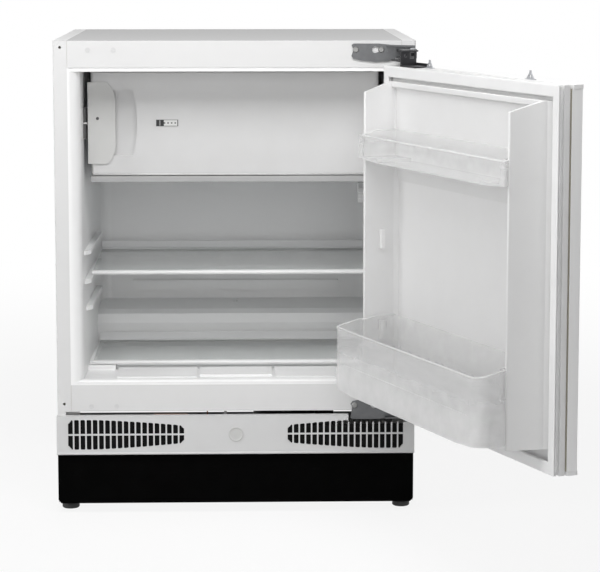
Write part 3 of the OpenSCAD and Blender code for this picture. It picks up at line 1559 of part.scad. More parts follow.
side_panel_left();
side_panel_right();
top_panel();
back_panel();
top_rail();
lower_rail();
cabinet_foam();
inner_liner();
screw_plugs();
evaporator();
icebox_frame();
icebox_hinge_pins();
icebox_door();
icebox_handle();
rating_plate();
icebox_catch();
mid_shelf_glass();
mid_shelf_trim();
mid_shelf_stop();
low_shelf_glass();
low_shelf_trim();
low_shelf_stop();
thermostat_housing();
thermostat_knob();
lamp_bulb();
lamp_cover();
light_switch();
base_tray();
foot_front_left();
foot_front_right();
foot_rear_left();
foot_rear_right();
plinth();
plinth_grille();
compressor();
compressor_grommets();
terminal_box();
condenser();
condenser_wires();
filter_drier();
drip_tray();
drain_tube();
lead_gland();
hinge_bracket_top();
hinge_bracket_bottom();
hinge_pins();
hinge_screws();
guide_link_top();
guide_link_bottom();
door_arm_top();
door_arm_bottom();
door_skin();
door_end_caps();
door_foam();
door_liner();
door_seal();
rack_bosses();
furniture_clips();
upper_rack();
lower_rack();
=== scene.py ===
# Built-in under-counter refrigerator with an icebox, its door open to the right.
import json
import math
import bpy
import bmesh
from mathutils import Matrix, Vector


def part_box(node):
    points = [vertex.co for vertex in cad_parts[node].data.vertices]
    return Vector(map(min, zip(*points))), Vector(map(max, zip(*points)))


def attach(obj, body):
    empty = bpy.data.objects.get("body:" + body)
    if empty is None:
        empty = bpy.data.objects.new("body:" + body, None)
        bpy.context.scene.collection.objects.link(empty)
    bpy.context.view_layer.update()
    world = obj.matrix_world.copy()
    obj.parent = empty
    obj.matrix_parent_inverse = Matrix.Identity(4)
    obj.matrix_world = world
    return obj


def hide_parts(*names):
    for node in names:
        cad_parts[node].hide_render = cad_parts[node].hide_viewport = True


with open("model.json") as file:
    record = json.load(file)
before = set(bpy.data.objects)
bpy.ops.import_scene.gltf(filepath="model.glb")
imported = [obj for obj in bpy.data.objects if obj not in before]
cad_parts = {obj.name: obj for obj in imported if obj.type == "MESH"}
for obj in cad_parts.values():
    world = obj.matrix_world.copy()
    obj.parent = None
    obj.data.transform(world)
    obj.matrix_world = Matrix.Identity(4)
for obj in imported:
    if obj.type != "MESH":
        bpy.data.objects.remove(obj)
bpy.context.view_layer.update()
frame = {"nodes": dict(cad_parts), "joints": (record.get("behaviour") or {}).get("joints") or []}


# Side panels: sheet steel, bent to a flange at the front and at the top, and powder coated white.
# The powder flows to a fine orange peel, and shows the faint unevenness of the sheet under it.
# The panels are held by the foam behind them.
class Level:
    """One socket of a finish; Python's operators on levels and numbers add the nodes for them."""

    def __init__(self, finish, socket):
        self.finish = finish
        self.socket = socket

    def maths(self, operation, *terms):
        return self.finish.node("ShaderNodeMath", {"operation": operation}, dict(enumerate(terms)))

    def __add__(self, other):
        return self.maths("ADD", self, other)

    def __radd__(self, other):
        return self.maths("ADD", other, self)

    def __sub__(self, other):
        return self.maths("SUBTRACT", self, other)

    def __rsub__(self, other):
        return self.maths("SUBTRACT", other, self)

    def __mul__(self, other):
        return self.maths("MULTIPLY", self, other)

    def __rmul__(self, other):
        return self.maths("MULTIPLY", other, self)

    def __gt__(self, other):
        return self.maths("GREATER_THAN", self, other)

    def __lt__(self, other):
        return self.maths("LESS_THAN", self, other)

    def __abs__(self):
        return self.maths("ABSOLUTE", self)

    def at_most(self, limit):
        return self.maths("MINIMUM", self, limit)

    def folded(self, width):
        """Rises from 0 to a width and falls again, over and over."""
        return self.maths("PINGPONG", self, width)


class Finish:
    """The nodes of one finish, on a new material or, for the studio's air, on a new world."""

    def __init__(self, name, kept_in=bpy.data.materials):
        self.owner = kept_in.new(name)
        self.owner.use_nodes = True
        self.owner.node_tree.nodes.clear()

    def node(self, kind, settings=None, sockets=None, out=None):
        """Adds a node with its settings, then its sockets' values or links, and gives one output."""
        made = self.owner.node_tree.nodes.new(kind)
        for key, value in (settings or {}).items():
            setattr(made, key, value)
        for key, value in (sockets or {}).items():
            if isinstance(key, int):
                socket = made.inputs[key]
            else:
                socket = next(s for s in made.inputs if s.name == key and s.enabled)
            if isinstance(value, Level):
                self.owner.node_tree.links.new(value.socket, socket)
            else:
                socket.default_value = value
        outputs = [s for s in made.outputs if s.enabled]
        if outputs:
            return Level(self, made.outputs[out] if out else outputs[0])

    def place(self):
        """The point on the piece, in metres."""
        return self.node("ShaderNodeTexCoord", out="Object")

    def along(self, axis):
        """How far the point lies along X, Y or Z, in metres."""
        return self.node("ShaderNodeSeparateXYZ", None, {0: self.place()}, axis)

    def cloud(self, place, size, detail=2, roughness=0.5):
        """Soft noise from 0 to 1, with patches of a size in metres."""
        return self.node(
            "ShaderNodeTexNoise", None,
            {"Vector": place, "Scale": 1 / size, "Detail": detail, "Roughness": roughness}, "Fac",
        )

    def cells(self, place, count):
        """The distance to the middle of the nearest cell, with a count of cells to the metre."""
        return self.node("ShaderNodeTexVoronoi", None, {"Vector": place, "Scale": count}, "Distance")

    def ramp(self, level, start, end, low, high):
        """A smooth change from low to high while a level goes from start to end."""
        return self.node(
            "ShaderNodeMapRange", {"interpolation_type": "SMOOTHSTEP"},
            {"Value": level, "From Min": start, "From Max": end, "To Min": low, "To Max": high},
            "Result",
        )

    def stretched(self, place, scales):
        """The place, shrunk or grown along each axis, for grain that runs one way."""
        return self.node("ShaderNodeVectorMath", {"operation": "MULTIPLY"}, {0: place, 1: scales})

    def blended(self, share, first, second):
        """A colour between two others: the first where the share is 0, the second where it's 1."""
        return self.node(
            "ShaderNodeMix", {"data_type": "RGBA"}, {"Factor": share, "A": first, "B": second}
        )

    def relief(self, height, depth):
        """A bump of a depth in metres."""
        return self.node(
            "ShaderNodeBump", None, {"Height": height, "Distance": depth, "Strength": 1.0}, "Normal"
        )

    def surface(self, sockets):
        """Ends the finish with its shader, and gives the material."""
        shader = self.node("ShaderNodeBsdfPrincipled", None, sockets)
        self.node("ShaderNodeOutputMaterial", None, {"Surface": shader})
        return self.owner


def grey(level, warmth=0.0):
    return (level * (1 + warmth), level, level * (1 - warmth), 1)


def powder_coat(name, colour, shade):
    coat = Finish(name)
    place = coat.place()
    peel = coat.cloud(place, size=0.0022)
    flow = coat.cloud(place, size=0.03)
    drift = coat.cloud(place, size=0.4)
    return coat.surface({
        "Base Color": coat.blended(drift * 0.6 + flow * 0.3, shade, colour),
        "Roughness": 0.26 + peel * 0.08 + flow * 0.06,
        "Normal": coat.relief(peel + flow * 2.5, depth=0.000035),
    })


def dress(finish, *names, edge=0.0):
    """Gives CAD nodes their finish and, if an edge is given, a round of that width on their edges.

    The mesh's split corners are joined and its flat faces made whole first, so that the round runs
    on from face to face.
    """
    for name in names:
        node = frame["nodes"][name]
        for slot in node.material_slots:
            slot.material = finish
        if edge:
            joined = node.modifiers.new("joined", "WELD")
            joined.merge_threshold = 0.00002
            flat = node.modifiers.new("flat", "DECIMATE")
            flat.decimate_type = "DISSOLVE"
            flat.angle_limit = math.radians(0.5)
            eased = node.modifiers.new("eased", "BEVEL")
            eased.limit_method = "ANGLE"
            eased.angle_limit = math.radians(38)
            eased.width = edge
            eased.segments = 3
            eased.harden_normals = True


white_paint = powder_coat("white_paint", grey(0.76), grey(0.72, 0.004))
dress(white_paint, "side_panel_left", "side_panel_right", edge=0.0007)


# Top panel and back panel: plain galvanised sheet, left unpainted because the worktop and the
# niche hide it. Cold rolling leaves faint streaks along the sheet, and the zinc a dull bloom.
def galvanised(name, colour, shade):
    sheet = Finish(name)
    place = sheet.place()
    streaks = sheet.cloud(sheet.stretched(place, (0.02, 1, 1)), size=0.003, detail=3)
    bloom = sheet.cloud(place, size=0.05, detail=4, roughness=0.6)
    spangle = sheet.cells(place, count=160)
    return sheet.surface({
        "Base Color": sheet.blended(bloom * 0.7 + streaks * 0.3, shade, colour),
        "Metallic": 0.35,
        "Roughness": 0.42 + bloom * 0.12 + spangle * 0.08,
        "Normal": sheet.relief(streaks + spangle * 0.3, depth=0.00002),
    })


grey_sheet = galvanised("grey_sheet", grey(0.5), grey(0.43))
dress(grey_sheet, "top_panel", "back_panel")


# Front rails: strips of the same coated steel, folded back to carry the liner's lip. The left ends
# keep the screw holes for a door hung on the other side, closed by small push-in plugs.
dress(white_paint, "top_rail", "lower_rail", edge=0.0005)


def moulded(name, colour, shade, roughness=0.3, grain=0.0006, depth=0.00001):
    """Moulded plastic with a fine grain, and the broad marks of its flow in the mould."""
    plastic = Finish(name)
    place = plastic.place()
    fine = plastic.cloud(place, grain)
    flow = plastic.cloud(place, size=0.045, detail=3)
    return plastic.surface({
        "Base Color": plastic.blended(flow, shade, colour),
        "Roughness": roughness + flow * 0.08 + fine * 0.05,
        "Normal": plastic.relief(fine + flow * 1.5, depth),
    })


white_plastic = moulded("white_plastic", grey(0.86), grey(0.81, 0.006))
plug_plastic = moulded("plug_plastic", grey(0.7), grey(0.66), roughness=0.38)
dress(plug_plastic, "screw_plugs")


# Insulation: polyurethane foam, poured between the steel and the liner. It rises and sets there in
# small closed cells, and holds the shells together. Its beige is painted shade, darker and greyer
# than the foam's own cream, so that the slits where the door's foam shows read as shaded grooves.
def foam_in_painted_shade():
    foam = Finish("foam_in_painted_shade")
    place = foam.place()
    swirl = foam.cloud(place, size=0.03, detail=4)
    return foam.surface({
        "Base Color": foam.blended(swirl, (0.44, 0.41, 0.33, 1), (0.56, 0.53, 0.45, 1)),
        "Roughness": 0.8 + swirl * 0.15,
        "Normal": foam.relief(foam.cells(place, count=700) + swirl, depth=0.0004),
    })


dress(foam_in_painted_shade(), "cabinet_foam", "door_foam")


# Inner liner: one sheet of white polystyrene, drawn by vacuum into the mould of the cold space with
# its shelf supports, floor pads and step. The drawing leaves it glossy and very slightly wavy. Its
# white is painted light, set lighter than the door's liner, so the shaded back wall reads brighter.
def liner_with_painted_light():
    liner = Finish("liner_with_painted_light")
    place = liner.place()
    haze = liner.cloud(place, size=0.12)
    wave = liner.cloud(place, size=0.018)
    grain = liner.cloud(place, size=0.0008)
    return liner.surface({
        "Base Color": liner.blended(haze, grey(0.91, 0.002), grey(0.94)),
        "Roughness": 0.3 + haze * 0.1 + grain * 0.04,
        "Normal": liner.relief(wave + grain * 0.1, depth=0.00012),
    })


dress(liner_with_painted_light(), "inner_liner", edge=0.0012)


# Icebox: the evaporator is an aluminium roll-bond sheet folded to a box, with its channels blown up
# between two sheets. A moulded frame clips round its mouth, carries the door's two pins, and has a
# dark catch beside it. The frame's grey is painted shade, and the catch's near-black is partly
# painted shade: both are darker than their plastic, for the shadow behind the icebox door.
def bonded_aluminium():
    sheet = Finish("bonded_aluminium")
    place = sheet.place()
    frost = sheet.cloud(place, size=0.02, detail=4, roughness=0.6)
    lines = sheet.cloud(sheet.stretched(place, (0.04, 1, 1)), size=0.002)
    return sheet.surface({
        "Base Color": sheet.blended(frost, (0.66, 0.68, 0.7, 1), (0.8, 0.81, 0.82, 1)),
        "Metallic": 0.75,
        "Roughness": 0.38 + frost * 0.2,
        "Normal": sheet.relief(lines + frost, depth=0.00003),
    })


dress(bonded_aluminium(), "evaporator")
dress(white_plastic, "icebox_hinge_pins")
# Painted shade: the frame is a darker grey than its moulding, for the shadow it lies in.
frame_painted_shade = moulded("frame_painted_shade", grey(0.44), grey(0.4), roughness=0.36)
dress(frame_painted_shade, "icebox_frame", edge=0.0008)
dark_plastic = moulded("dark_plastic", grey(0.06), grey(0.09), roughness=0.4)
# Partly painted shade: the catch is near-black, for the shadow it sits in.
dress(dark_plastic, "icebox_catch")


# Icebox door: a hollow moulding in white polystyrene with a round hinge edge and a finger recess. A
# satin handle plate is snapped on beside the recess.
soft_white = moulded("soft_white", grey(0.66), grey(0.62, 0.004), roughness=0.34)
dress(soft_white, "icebox_door")
satin_plastic = moulded(
    "satin_plastic", (0.61, 0.61, 0.6, 1), (0.56, 0.56, 0.55, 1), roughness=0.38
)
dress(satin_plastic, "icebox_handle")


# Two-tone plate: a small plastic plate pressed into the icebox door's face. Its black end has a grey
# bar, and its pale field is printed with a dark border and a row of dots, and nothing else.
def two_tone():
    plate = Finish("two_tone_plate")
    plate_low, plate_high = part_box("rating_plate")
    across = plate.along("X") - plate_low.x
    upward = plate.along("Z") - (plate_low.z + plate_high.z) / 2
    bar_middle = 0.00635
    bar_half = 0.0006
    field_start = 0.01295
    field_end = 0.03535
    field_half = 0.0047
    dot_middle = 0.02605
    dot_spacing = 0.006
    dot_radius = 0.0013
    pale = across > field_start
    bar = abs(across - bar_middle) < bar_half
    border = abs(upward) > field_half
    ending = across > field_end
    dots = ((across - dot_middle).folded(dot_spacing / 2) < dot_radius) * (abs(upward) < dot_radius)
    marks = (border + ending + dots * pale).at_most(1)
    smear = plate.cloud(plate.place(), size=0.004, detail=3)
    tones = plate.blended(pale, (0.004, 0.004, 0.005, 1), (0.72, 0.72, 0.71, 1))
    barred = plate.blended(bar * 0.8, tones, grey(0.5))
    return plate.surface({
        "Base Color": plate.blended(marks * 0.85, barred, (0.03, 0.03, 0.032, 1)),
        "Roughness": 0.3 + smear * 0.15,
        "Normal": plate.relief(smear, depth=0.00002),
    })


dress(two_tone(), "rating_plate")


# Icebox catch tongue and handle rivet: a pale tongue in the dark catch snaps over the handle
# plate's edge, and a small dark rivet holds that plate on the door.
def placed(name, built, finish, body):
    """Makes a piece of a finished shape, and lets it ride on a body."""
    mesh = bpy.data.meshes.new(name)
    built.to_mesh(mesh)
    built.free()
    mesh.materials.append(finish)
    piece = bpy.data.objects.new(name, mesh)
    bpy.context.scene.collection.objects.link(piece)
    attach(piece, body)
    return piece


def lofted(name, rows, finish, body, closed=False, smooth=True):
    """A skin over rows of points, joined end to end if it's closed and capped at both ends if not."""
    built = bmesh.new()
    grid = [[built.verts.new(point) for point in row] for row in rows]
    steps = len(grid) if closed else len(grid) - 1
    for i in range(steps):
        row, after = grid[i], grid[(i + 1) % len(grid)]
        for j in range(len(row)):
            k = (j + 1) % len(row)
            built.faces.new((row[j], row[k], after[k], after[j]))
    if not closed:
        built.faces.new(list(reversed(grid[0])))
        built.faces.new(grid[-1])
    bmesh.ops.recalc_face_normals(built, faces=built.faces)
    for face in built.faces:
        face.smooth = smooth
    return placed(name, built, finish, body)


def turned(name, outline, foot, axis, finish, body):
    """A round piece turned from an outline of (distance, radius) pairs, along an axis from its foot."""
    side = axis.orthogonal().normalized()
    other = axis.cross(side)
    turns = [math.radians(15 * k) for k in range(24)]
    rows = [
        [
            foot + axis * distance + (side * math.cos(turn) + other * math.sin(turn)) * radius
            for turn in turns
        ]
        for distance, radius in outline
    ]
    lofted(name, rows, finish, body)


rightwards = Vector((1, 0, 0))
forwards = Vector((0, -1, 0))
backwards = Vector((0, 1, 0))

handle_low, handle_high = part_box("icebox_handle")
rivet_inset = 0.01615
rivet_sink = 0.0001
rivet_lift = 0.00795
rivet_height = (handle_low.z + handle_high.z) / 2 + rivet_lift
rivet_foot = Vector((handle_low.x + rivet_inset, handle_low.y + rivet_sink, rivet_height))
rivet_head = [(0, 0.0026), (0.0003, 0.0026), (0.0006, 0.002), (0.00075, 0.001), (0.0008, 0.0002)]
turned("handle_rivet", rivet_head, rivet_foot, forwards, dark_plastic, "icebox_door")

catch_low, catch_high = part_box("icebox_catch")
tongue_inset = 0.00045
tongue_reach = 0.0009
tongue_rise = 0.02605
tongue_place = (catch_low.x + tongue_inset, catch_low.y - tongue_reach, catch_low.z + tongue_rise)
tongue_foot = Vector(tongue_place)
tongue = [(0, 0.0007), (0.0004, 0.0012), (0.0058, 0.0012), (0.0063, 0.0008), (0.0065, 0.0002)]
turned("catch_tongue", tongue, tongue_foot, rightwards, white_plastic, "cabinet")


# Icebox door lip: a soft vinyl strip pushed on the door's lower edge. It closes most of the gap over
# the frame, and bends aside on the ice that grows there. Its white line is a painted highlight for
# the door's lower edge, laid over the gap's shadow.
icebox_door_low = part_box("icebox_door")[0]
lip_left = icebox_door_low.x + 0.00175
lip_length = 0.4639
lip_middle = icebox_door_low.y + 0.0029
lip_top = icebox_door_low.z + 0.0003
lip_half = 0.0024
lip_drop = 0.0041
lip_turns = [math.radians(20 * k) for k in range(10)]
lip_outline = [
    (lip_middle - lip_half * math.cos(turn), lip_top - lip_drop * math.sin(turn)) for turn in lip_turns
]
# Painted highlight: the white lip stands for the light on the icebox door's lower edge.
lofted(
    "icebox_door_lip",
    [[Vector((lip_left + lip_length * step / 4, y, z)) for y, z in lip_outline] for step in range(5)],
    white_plastic, "icebox_door",
)


# Filling plugs and back rivets: two soft caps press into the holes in the back panel that the foam
# was poured through. Domed rivets hold the panel's edges to the side panels.
back_low, back_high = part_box("back_panel")
plug_reach = 0.17
plug_height = back_high.z - 0.074
plug_cap = [
    (0, 0.014), (0.0008, 0.014), (0.0016, 0.013), (0.0019, 0.011), (0.0019, 0.009),
    (0.0012, 0.0075), (0.0011, 0.001),
]
back_rivet = [(0, 0.0034), (0.0005, 0.0033), (0.0011, 0.0026), (0.0015, 0.0015), (0.0016, 0.0003)]
back_rivet_reach = back_high.x - 0.008
back_rivet_rises = (0.028, 0.186, 0.346, 0.511)
for hand, side in (("left", -1), ("right", 1)):
    plug_foot = Vector((side * plug_reach, back_high.y, plug_height))
    turned("filling_plug_" + hand, plug_cap, plug_foot, backwards, plug_plastic, "cabinet")
    for row, rise in enumerate(back_rivet_rises):
        foot = Vector((side * back_rivet_reach, back_high.y, back_low.z + rise))
        turned("back_rivet_%s_%d" % (hand, row), back_rivet, foot, backwards, grey_sheet, "cabinet")


# Thermostat and lamp: one white housing on the right wall, with a turning knob, a small lamp under
# a ribbed lens, and the plunger that the closing door presses.
def lamp_lens():
    lens = Finish("lamp_lens")
    veil = lens.cloud(lens.place(), size=0.01, detail=3)
    return lens.surface({
        "Base Color": lens.blended(veil, (0.86, 0.87, 0.86, 1), (0.93, 0.94, 0.93, 1)),
        "Roughness": 0.32 + veil * 0.1,
        "Transmission Weight": 0.55,
        "IOR": 1.49,
        "Normal": lens.relief(veil, depth=0.00004),
    })


def opal_glass():
    opal = Finish("opal_glass")
    veil = opal.cloud(opal.place(), size=0.006)
    return opal.surface({
        "Base Color": opal.blended(veil, (0.82, 0.8, 0.72, 1), (0.9, 0.88, 0.8, 1)),
        "Roughness": 0.15 + veil * 0.1,
        "Transmission Weight": 0.3,
        "Normal": opal.relief(veil, depth=0.00002),
    })


dress(white_plastic, "thermostat_housing", "thermostat_knob", "light_switch")
dress(lamp_lens(), "lamp_cover")
dress(opal_glass(), "lamp_bulb")


# Shelves: toughened float glass, with a moulded trim pressed on its front edge and a stop on its
# back edge. They slide forward on the liner's supports.
def float_glass():
    glass = Finish("float_glass")
    film = glass.cloud(glass.place(), size=0.05, detail=3)
    return glass.surface({
        "Base Color": glass.blended(film, (0.78, 0.82, 0.81, 1), (0.86, 0.89, 0.88, 1)),
        "Roughness": 0.04 + film * 0.05,
        "Alpha": 0.24 + film * 0.08,
        "IOR": 1.5,
        "Normal": glass.relief(film, depth=0.00002),
    })


dress(float_glass(), "mid_shelf_glass", "low_shelf_glass")
trim_plastic = moulded("trim_plastic", grey(0.88), grey(0.84), roughness=0.24)
dress(trim_plastic, "mid_shelf_trim", "low_shelf_trim", edge=0.0006)
dress(trim_plastic, "mid_shelf_stop", "low_shelf_stop", edge=0.0006)


# Base and feet: a galvanised tray, welded between the side panels, carries the compressor. Four
# feet stand in its nuts: black pads, moulded on zinc-plated threaded studs.
def foot_finish():
    foot = Finish("foot_finish")
    place = foot.place()
    pad_top = 0.0112
    metal = foot.along("Z") > pad_top
    scuff = foot.cloud(place, size=0.003, detail=3)
    thread = foot.node(
        "ShaderNodeTexWave", {"bands_direction": "Z"},
        {"Vector": place, "Scale": 90, "Distortion": 0.0}, "Fac",
    )
    return foot.surface({
        "Base Color": foot.blended(metal, grey(0.02), grey(0.5)),
        "Metallic": metal,
        "Roughness": 0.55 + scuff * 0.2 - metal * 0.25,
        "Normal": foot.relief(scuff * 0.4 + thread * metal * 3, depth=0.0001),
    })


zinc_sheet = galvanised("zinc_sheet", (0.56, 0.57, 0.58, 1), (0.44, 0.45, 0.46, 1))
dress(zinc_sheet, "base_tray")
dress(foot_finish(), "foot_front_left", "foot_front_right", "foot_rear_left", "foot_rear_right")


# Compressor: a deep-drawn steel shell in black enamel, welded at its waist and standing on rubber
# grommets. Its terminal box is a matt black cover, snapped over the pins on its side. The condenser
# and its wires have the same enamel.
def black_enamel():
    enamel = Finish("black_enamel")
    place = enamel.place()
    peel = enamel.cloud(place, size=0.002)
    dust = enamel.cloud(place, size=0.02, detail=4, roughness=0.6)
    return enamel.surface({
        "Base Color": enamel.blended(dust, (0.012, 0.012, 0.013, 1), grey(0.045)),
        "Roughness": 0.3 + dust * 0.25,
        "Normal": enamel.relief(peel, depth=0.00005),
    })


dress(black_enamel(), "compressor", "condenser", "condenser_wires")
matt_black = moulded(
    "matt_black", grey(0.018), grey(0.026), roughness=0.5, grain=0.0007, depth=0.00003
)
dress(matt_black, "terminal_box", "drip_tray")
black_rubber = moulded(
    "black_rubber", grey(0.02), grey(0.035), roughness=0.7, grain=0.001, depth=0.00004
)
dress(black_rubber, "compressor_grommets", "lead_gland")


# Drier and drain: a copper drier capsule, whose thin tube is brazed in, and the pale tube that
# drains the melt water into the drip tray.
def copper_tube():
    tube = Finish("copper_tube")
    tarnish = tube.cloud(tube.place(), size=0.012, detail=4, roughness=0.6)
    return tube.surface({
        "Base Color": tube.blended(tarnish, (0.42, 0.16, 0.07, 1), (0.72, 0.34, 0.18, 1)),
        "Metallic": 0.95,
        "Roughness": 0.25 + tarnish * 0.25,
        "Normal": tube.relief(tarnish, depth=0.00003),
    })


dress(copper_tube(), "filter_drier")
dress(satin_plastic, "drain_tube")


# Shade mats: two mats of black open-cell foam, cut to size and set in behind the vents. They are
# painted shade, a dark sheet for the shadow inside the base seen through the slots. The right one is
# lower, to clear the hinge plate.
def shade_mats_finish():
    foam = Finish("shade_mats_finish")
    place = foam.place()
    pores = foam.cells(place, count=900)
    fluff = foam.cloud(place, size=0.012, detail=4, roughness=0.6)
    return foam.surface({
        "Base Color": foam.blended(fluff * pores, grey(0.004), grey(0.02)),
        "Roughness": 0.85 + fluff * 0.1,
        "Specular IOR Level": 0.1,
        "Normal": foam.relief(pores, depth=0.0006),
    })


def cut_slab(name, low, high, finish, body):
    """A cut slab between two corners, with soft edges and a slightly uneven face."""
    softness = 0.0012
    ripple = 0.00025
    waves_across, waves_lean, waves_up = 190, 70, 230
    middle = (low + high) / 2
    built = bmesh.new()
    bmesh.ops.create_cube(built, size=1)
    for vert in built.verts:
        vert.co = middle + vert.co * (high - low)
    bmesh.ops.bevel(
        built, geom=built.edges[:], offset=softness, segments=3, profile=0.5, affect="EDGES"
    )
    long_edges = [edge for edge in built.edges if edge.calc_length() > 0.02]
    bmesh.ops.subdivide_edges(built, edges=long_edges, cuts=12, use_grid_fill=True)
    for vert in built.verts:
        x, z = vert.co.x, vert.co.z
        vert.co.y += ripple * math.sin(x * waves_across + z * waves_lean) * math.sin(z * waves_up)
    for face in built.faces:
        face.smooth = True
    placed(name, built, finish, body)


# Painted shade: black mats that darken the ventilation panel's slots.
painted_shade_foam = shade_mats_finish()
grille_low, grille_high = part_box("plinth_grille")
mat_margin = 0.003
mat_start = 0.07
mat_front = grille_high.y - 0.0112
mat_back = grille_high.y - 0.0072
mat_side = grille_high.x - mat_margin
mat_low = grille_low.z + mat_margin
mat_high = grille_high.z - mat_margin
hinge_room = 0.0126
cut_slab(
    "shade_mat_left",
    Vector((-mat_side, mat_front, mat_low)), Vector((-mat_start, mat_back, mat_high)),
    painted_shade_foam, "cabinet",
)
cut_slab(
    "shade_mat_right",
    Vector((mat_start, mat_front, mat_low)), Vector((mat_side, mat_back, mat_high - hinge_room)),
    painted_shade_foam, "cabinet",
)


# Plinth: a black moulding that hangs under the ventilation panel and closes the base. It's matt, so
# that it stays in the shadow under the furniture.
def plinth_black():
    plinth = Finish("plinth_black")
    place = plinth.place()
    grain = plinth.cloud(place, size=0.0009)
    rubbed = plinth.cloud(place, size=0.03, detail=3)
    return plinth.surface({
        "Base Color": plinth.blended(rubbed, grey(0.001), grey(0.0025)),
        "Roughness": 0.5 + rubbed * 0.12,
        "Specular IOR Level": 0.01,
        "Normal": plinth.relief(grain + rubbed, depth=0.00003),
    })


dress(plinth_black(), "plinth")


# Ventilation panel: a light grey moulding that snaps on the front of the base. Its slots let the
# cool air in on the left, and the warm air out on the right.
grille_grey = moulded(
    "grille_grey", grey(0.68), grey(0.63), roughness=0.33, grain=0.0007, depth=0.00002
)
dress(grille_grey, "plinth_grille")


# Grille disc: a bare, dished cap of pale satin plastic. Its rim stands a little proud, and it is
# pressed on the round seat in the middle of the ventilation panel.
seat_share = 0.52
seat_depth = 0.00155
disc_height = grille_low.z + (grille_high.z - grille_low.z) * seat_share
disc_foot = Vector((0, grille_low.y + seat_depth, disc_height))
disc_cap = [
    (0, 0.0122), (0.0007, 0.0122), (0.001, 0.0119), (0.0011, 0.0114), (0.001, 0.0108),
    (0.00035, 0.0099), (0.0002, 0.0092), (0.00025, 0.005), (0.0003, 0.0002),
]
turned("grille_disc", disc_cap, disc_foot, forwards, satin_plastic, "cabinet")


# Hinges: plates of zinc-plated steel, screwed on the rails, with the door's pin and the guide
# link's pin riveted in their ears. Links and door arms are darker, burnished steel.
def plated(name, colour, shade, roughness):
    steel = Finish(name)
    place = steel.place()
    streaks = steel.cloud(steel.stretched(place, (0.1, 1, 1)), size=0.0012, detail=3)
    stains = steel.cloud(place, size=0.01, detail=4, roughness=0.6)
    return steel.surface({
        "Base Color": steel.blended(stains, shade, colour),
        "Metallic": 0.9,
        "Roughness": roughness + stains * 0.18 + streaks * 0.08,
        "Normal": steel.relief(streaks + stains * 0.6, depth=0.00003),
    })


zinc_plate = plated("zinc_plate", (0.62, 0.63, 0.65, 1), (0.42, 0.43, 0.45, 1), roughness=0.24)
dress(zinc_plate, "hinge_pins")
screw_zinc = plated("screw_zinc", (0.36, 0.36, 0.35, 1), grey(0.2), roughness=0.3)
dress(screw_zinc, "hinge_screws")
dull_plate = plated(
    "dull_plate", (0.17, 0.173, 0.177, 1), (0.09, 0.092, 0.096, 1), roughness=0.3
)
dress(dull_plate, "hinge_bracket_top", "hinge_bracket_bottom")
burnished = plated(
    "burnished_steel", (0.07, 0.07, 0.074, 1), (0.03, 0.03, 0.033, 1), roughness=0.28
)
dress(burnished, "guide_link_top", "guide_link_bottom", "door_arm_top", "door_arm_bottom")


# Door: a shallow tray of coated steel with a moulded cap on each end, a drawn liner with two
# cheeks and a stepped panel, and foam between them. The racks hang on bosses on the cheeks.
# Painted light: the door's coat is a lighter copy of the cabinet's white, to brighten its edge.
skin_paint_with_painted_light = powder_coat("skin_paint_with_painted_light", grey(0.9), grey(0.87, 0.003))
dress(skin_paint_with_painted_light, "door_skin", edge=0.0008)
dress(white_plastic, "door_end_caps", "rack_bosses")
drawn_white = moulded("drawn_white", grey(0.79), grey(0.75, 0.003), grain=0.0009, depth=0.00003)
dress(drawn_white, "door_liner", edge=0.0016)


# Door seal: a hollow profile of soft white vinyl, pressed into the liner's groove by its foot. It's
# cut and welded at the corners, and a magnet strip inside its bulb pulls it to the cabinet.
door_swing = next(joint for joint in frame["joints"] if joint["name"] == "door_swing")
pivot = Vector(door_swing["pos_m"])
opening = Matrix.Rotation(math.radians(-door_swing["range_deg"][0]), 3, "Z")


def opened(x, y, z):
    """Where a point of the shut door is while the door stands open."""
    return pivot + opening @ (Vector((x, y, z)) - pivot)


def shut_box(name):
    """The lowest and the highest corner of a piece on the door, with the door shut."""
    vertices = frame["nodes"][name].data.vertices
    shut = [pivot + opening.transposed() @ (vertex.co - pivot) for vertex in vertices]
    return (
        Vector([min(point[axis] for point in shut) for axis in range(3)]),
        Vector([max(point[axis] for point in shut) for axis in range(3)]),
    )


seal_vinyl = moulded(
    "seal_vinyl", grey(0.84), grey(0.79), roughness=0.42, grain=0.0009, depth=0.00002
)
skin_side = shut_box("door_skin")[1].x
caps_low, caps_high = shut_box("door_end_caps")
profile_middle = 0.00925
half_profile = [
    (0.0041, -0.01), (0.0041, -0.0069), (0.0043, -0.0062), (0.0079, -0.0054), (0.0086, -0.0046),
    (0.0079, -0.0039), (0.0049, -0.0034), (0.0052, -0.0029), (0.0081, -0.0023),
    (0.00865, -0.0014), (0.0079, -0.0007), (0.0062, -0.0005),
]
profile = [(profile_middle + out, y) for out, y in half_profile]
profile += [(profile_middle - out, y) for out, y in reversed(half_profile)]
corners = [(-1, caps_low.z, 1), (1, caps_low.z, 1), (1, caps_high.z, -1), (-1, caps_high.z, -1)]
seal = lofted(
    "door_gasket",
    [
        [opened(side * (skin_side - inset), y, end + up * inset) for inset, y in profile]
        for side, end, up in corners
    ],
    seal_vinyl, "door", closed=True, smooth=False,
)
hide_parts("door_seal")


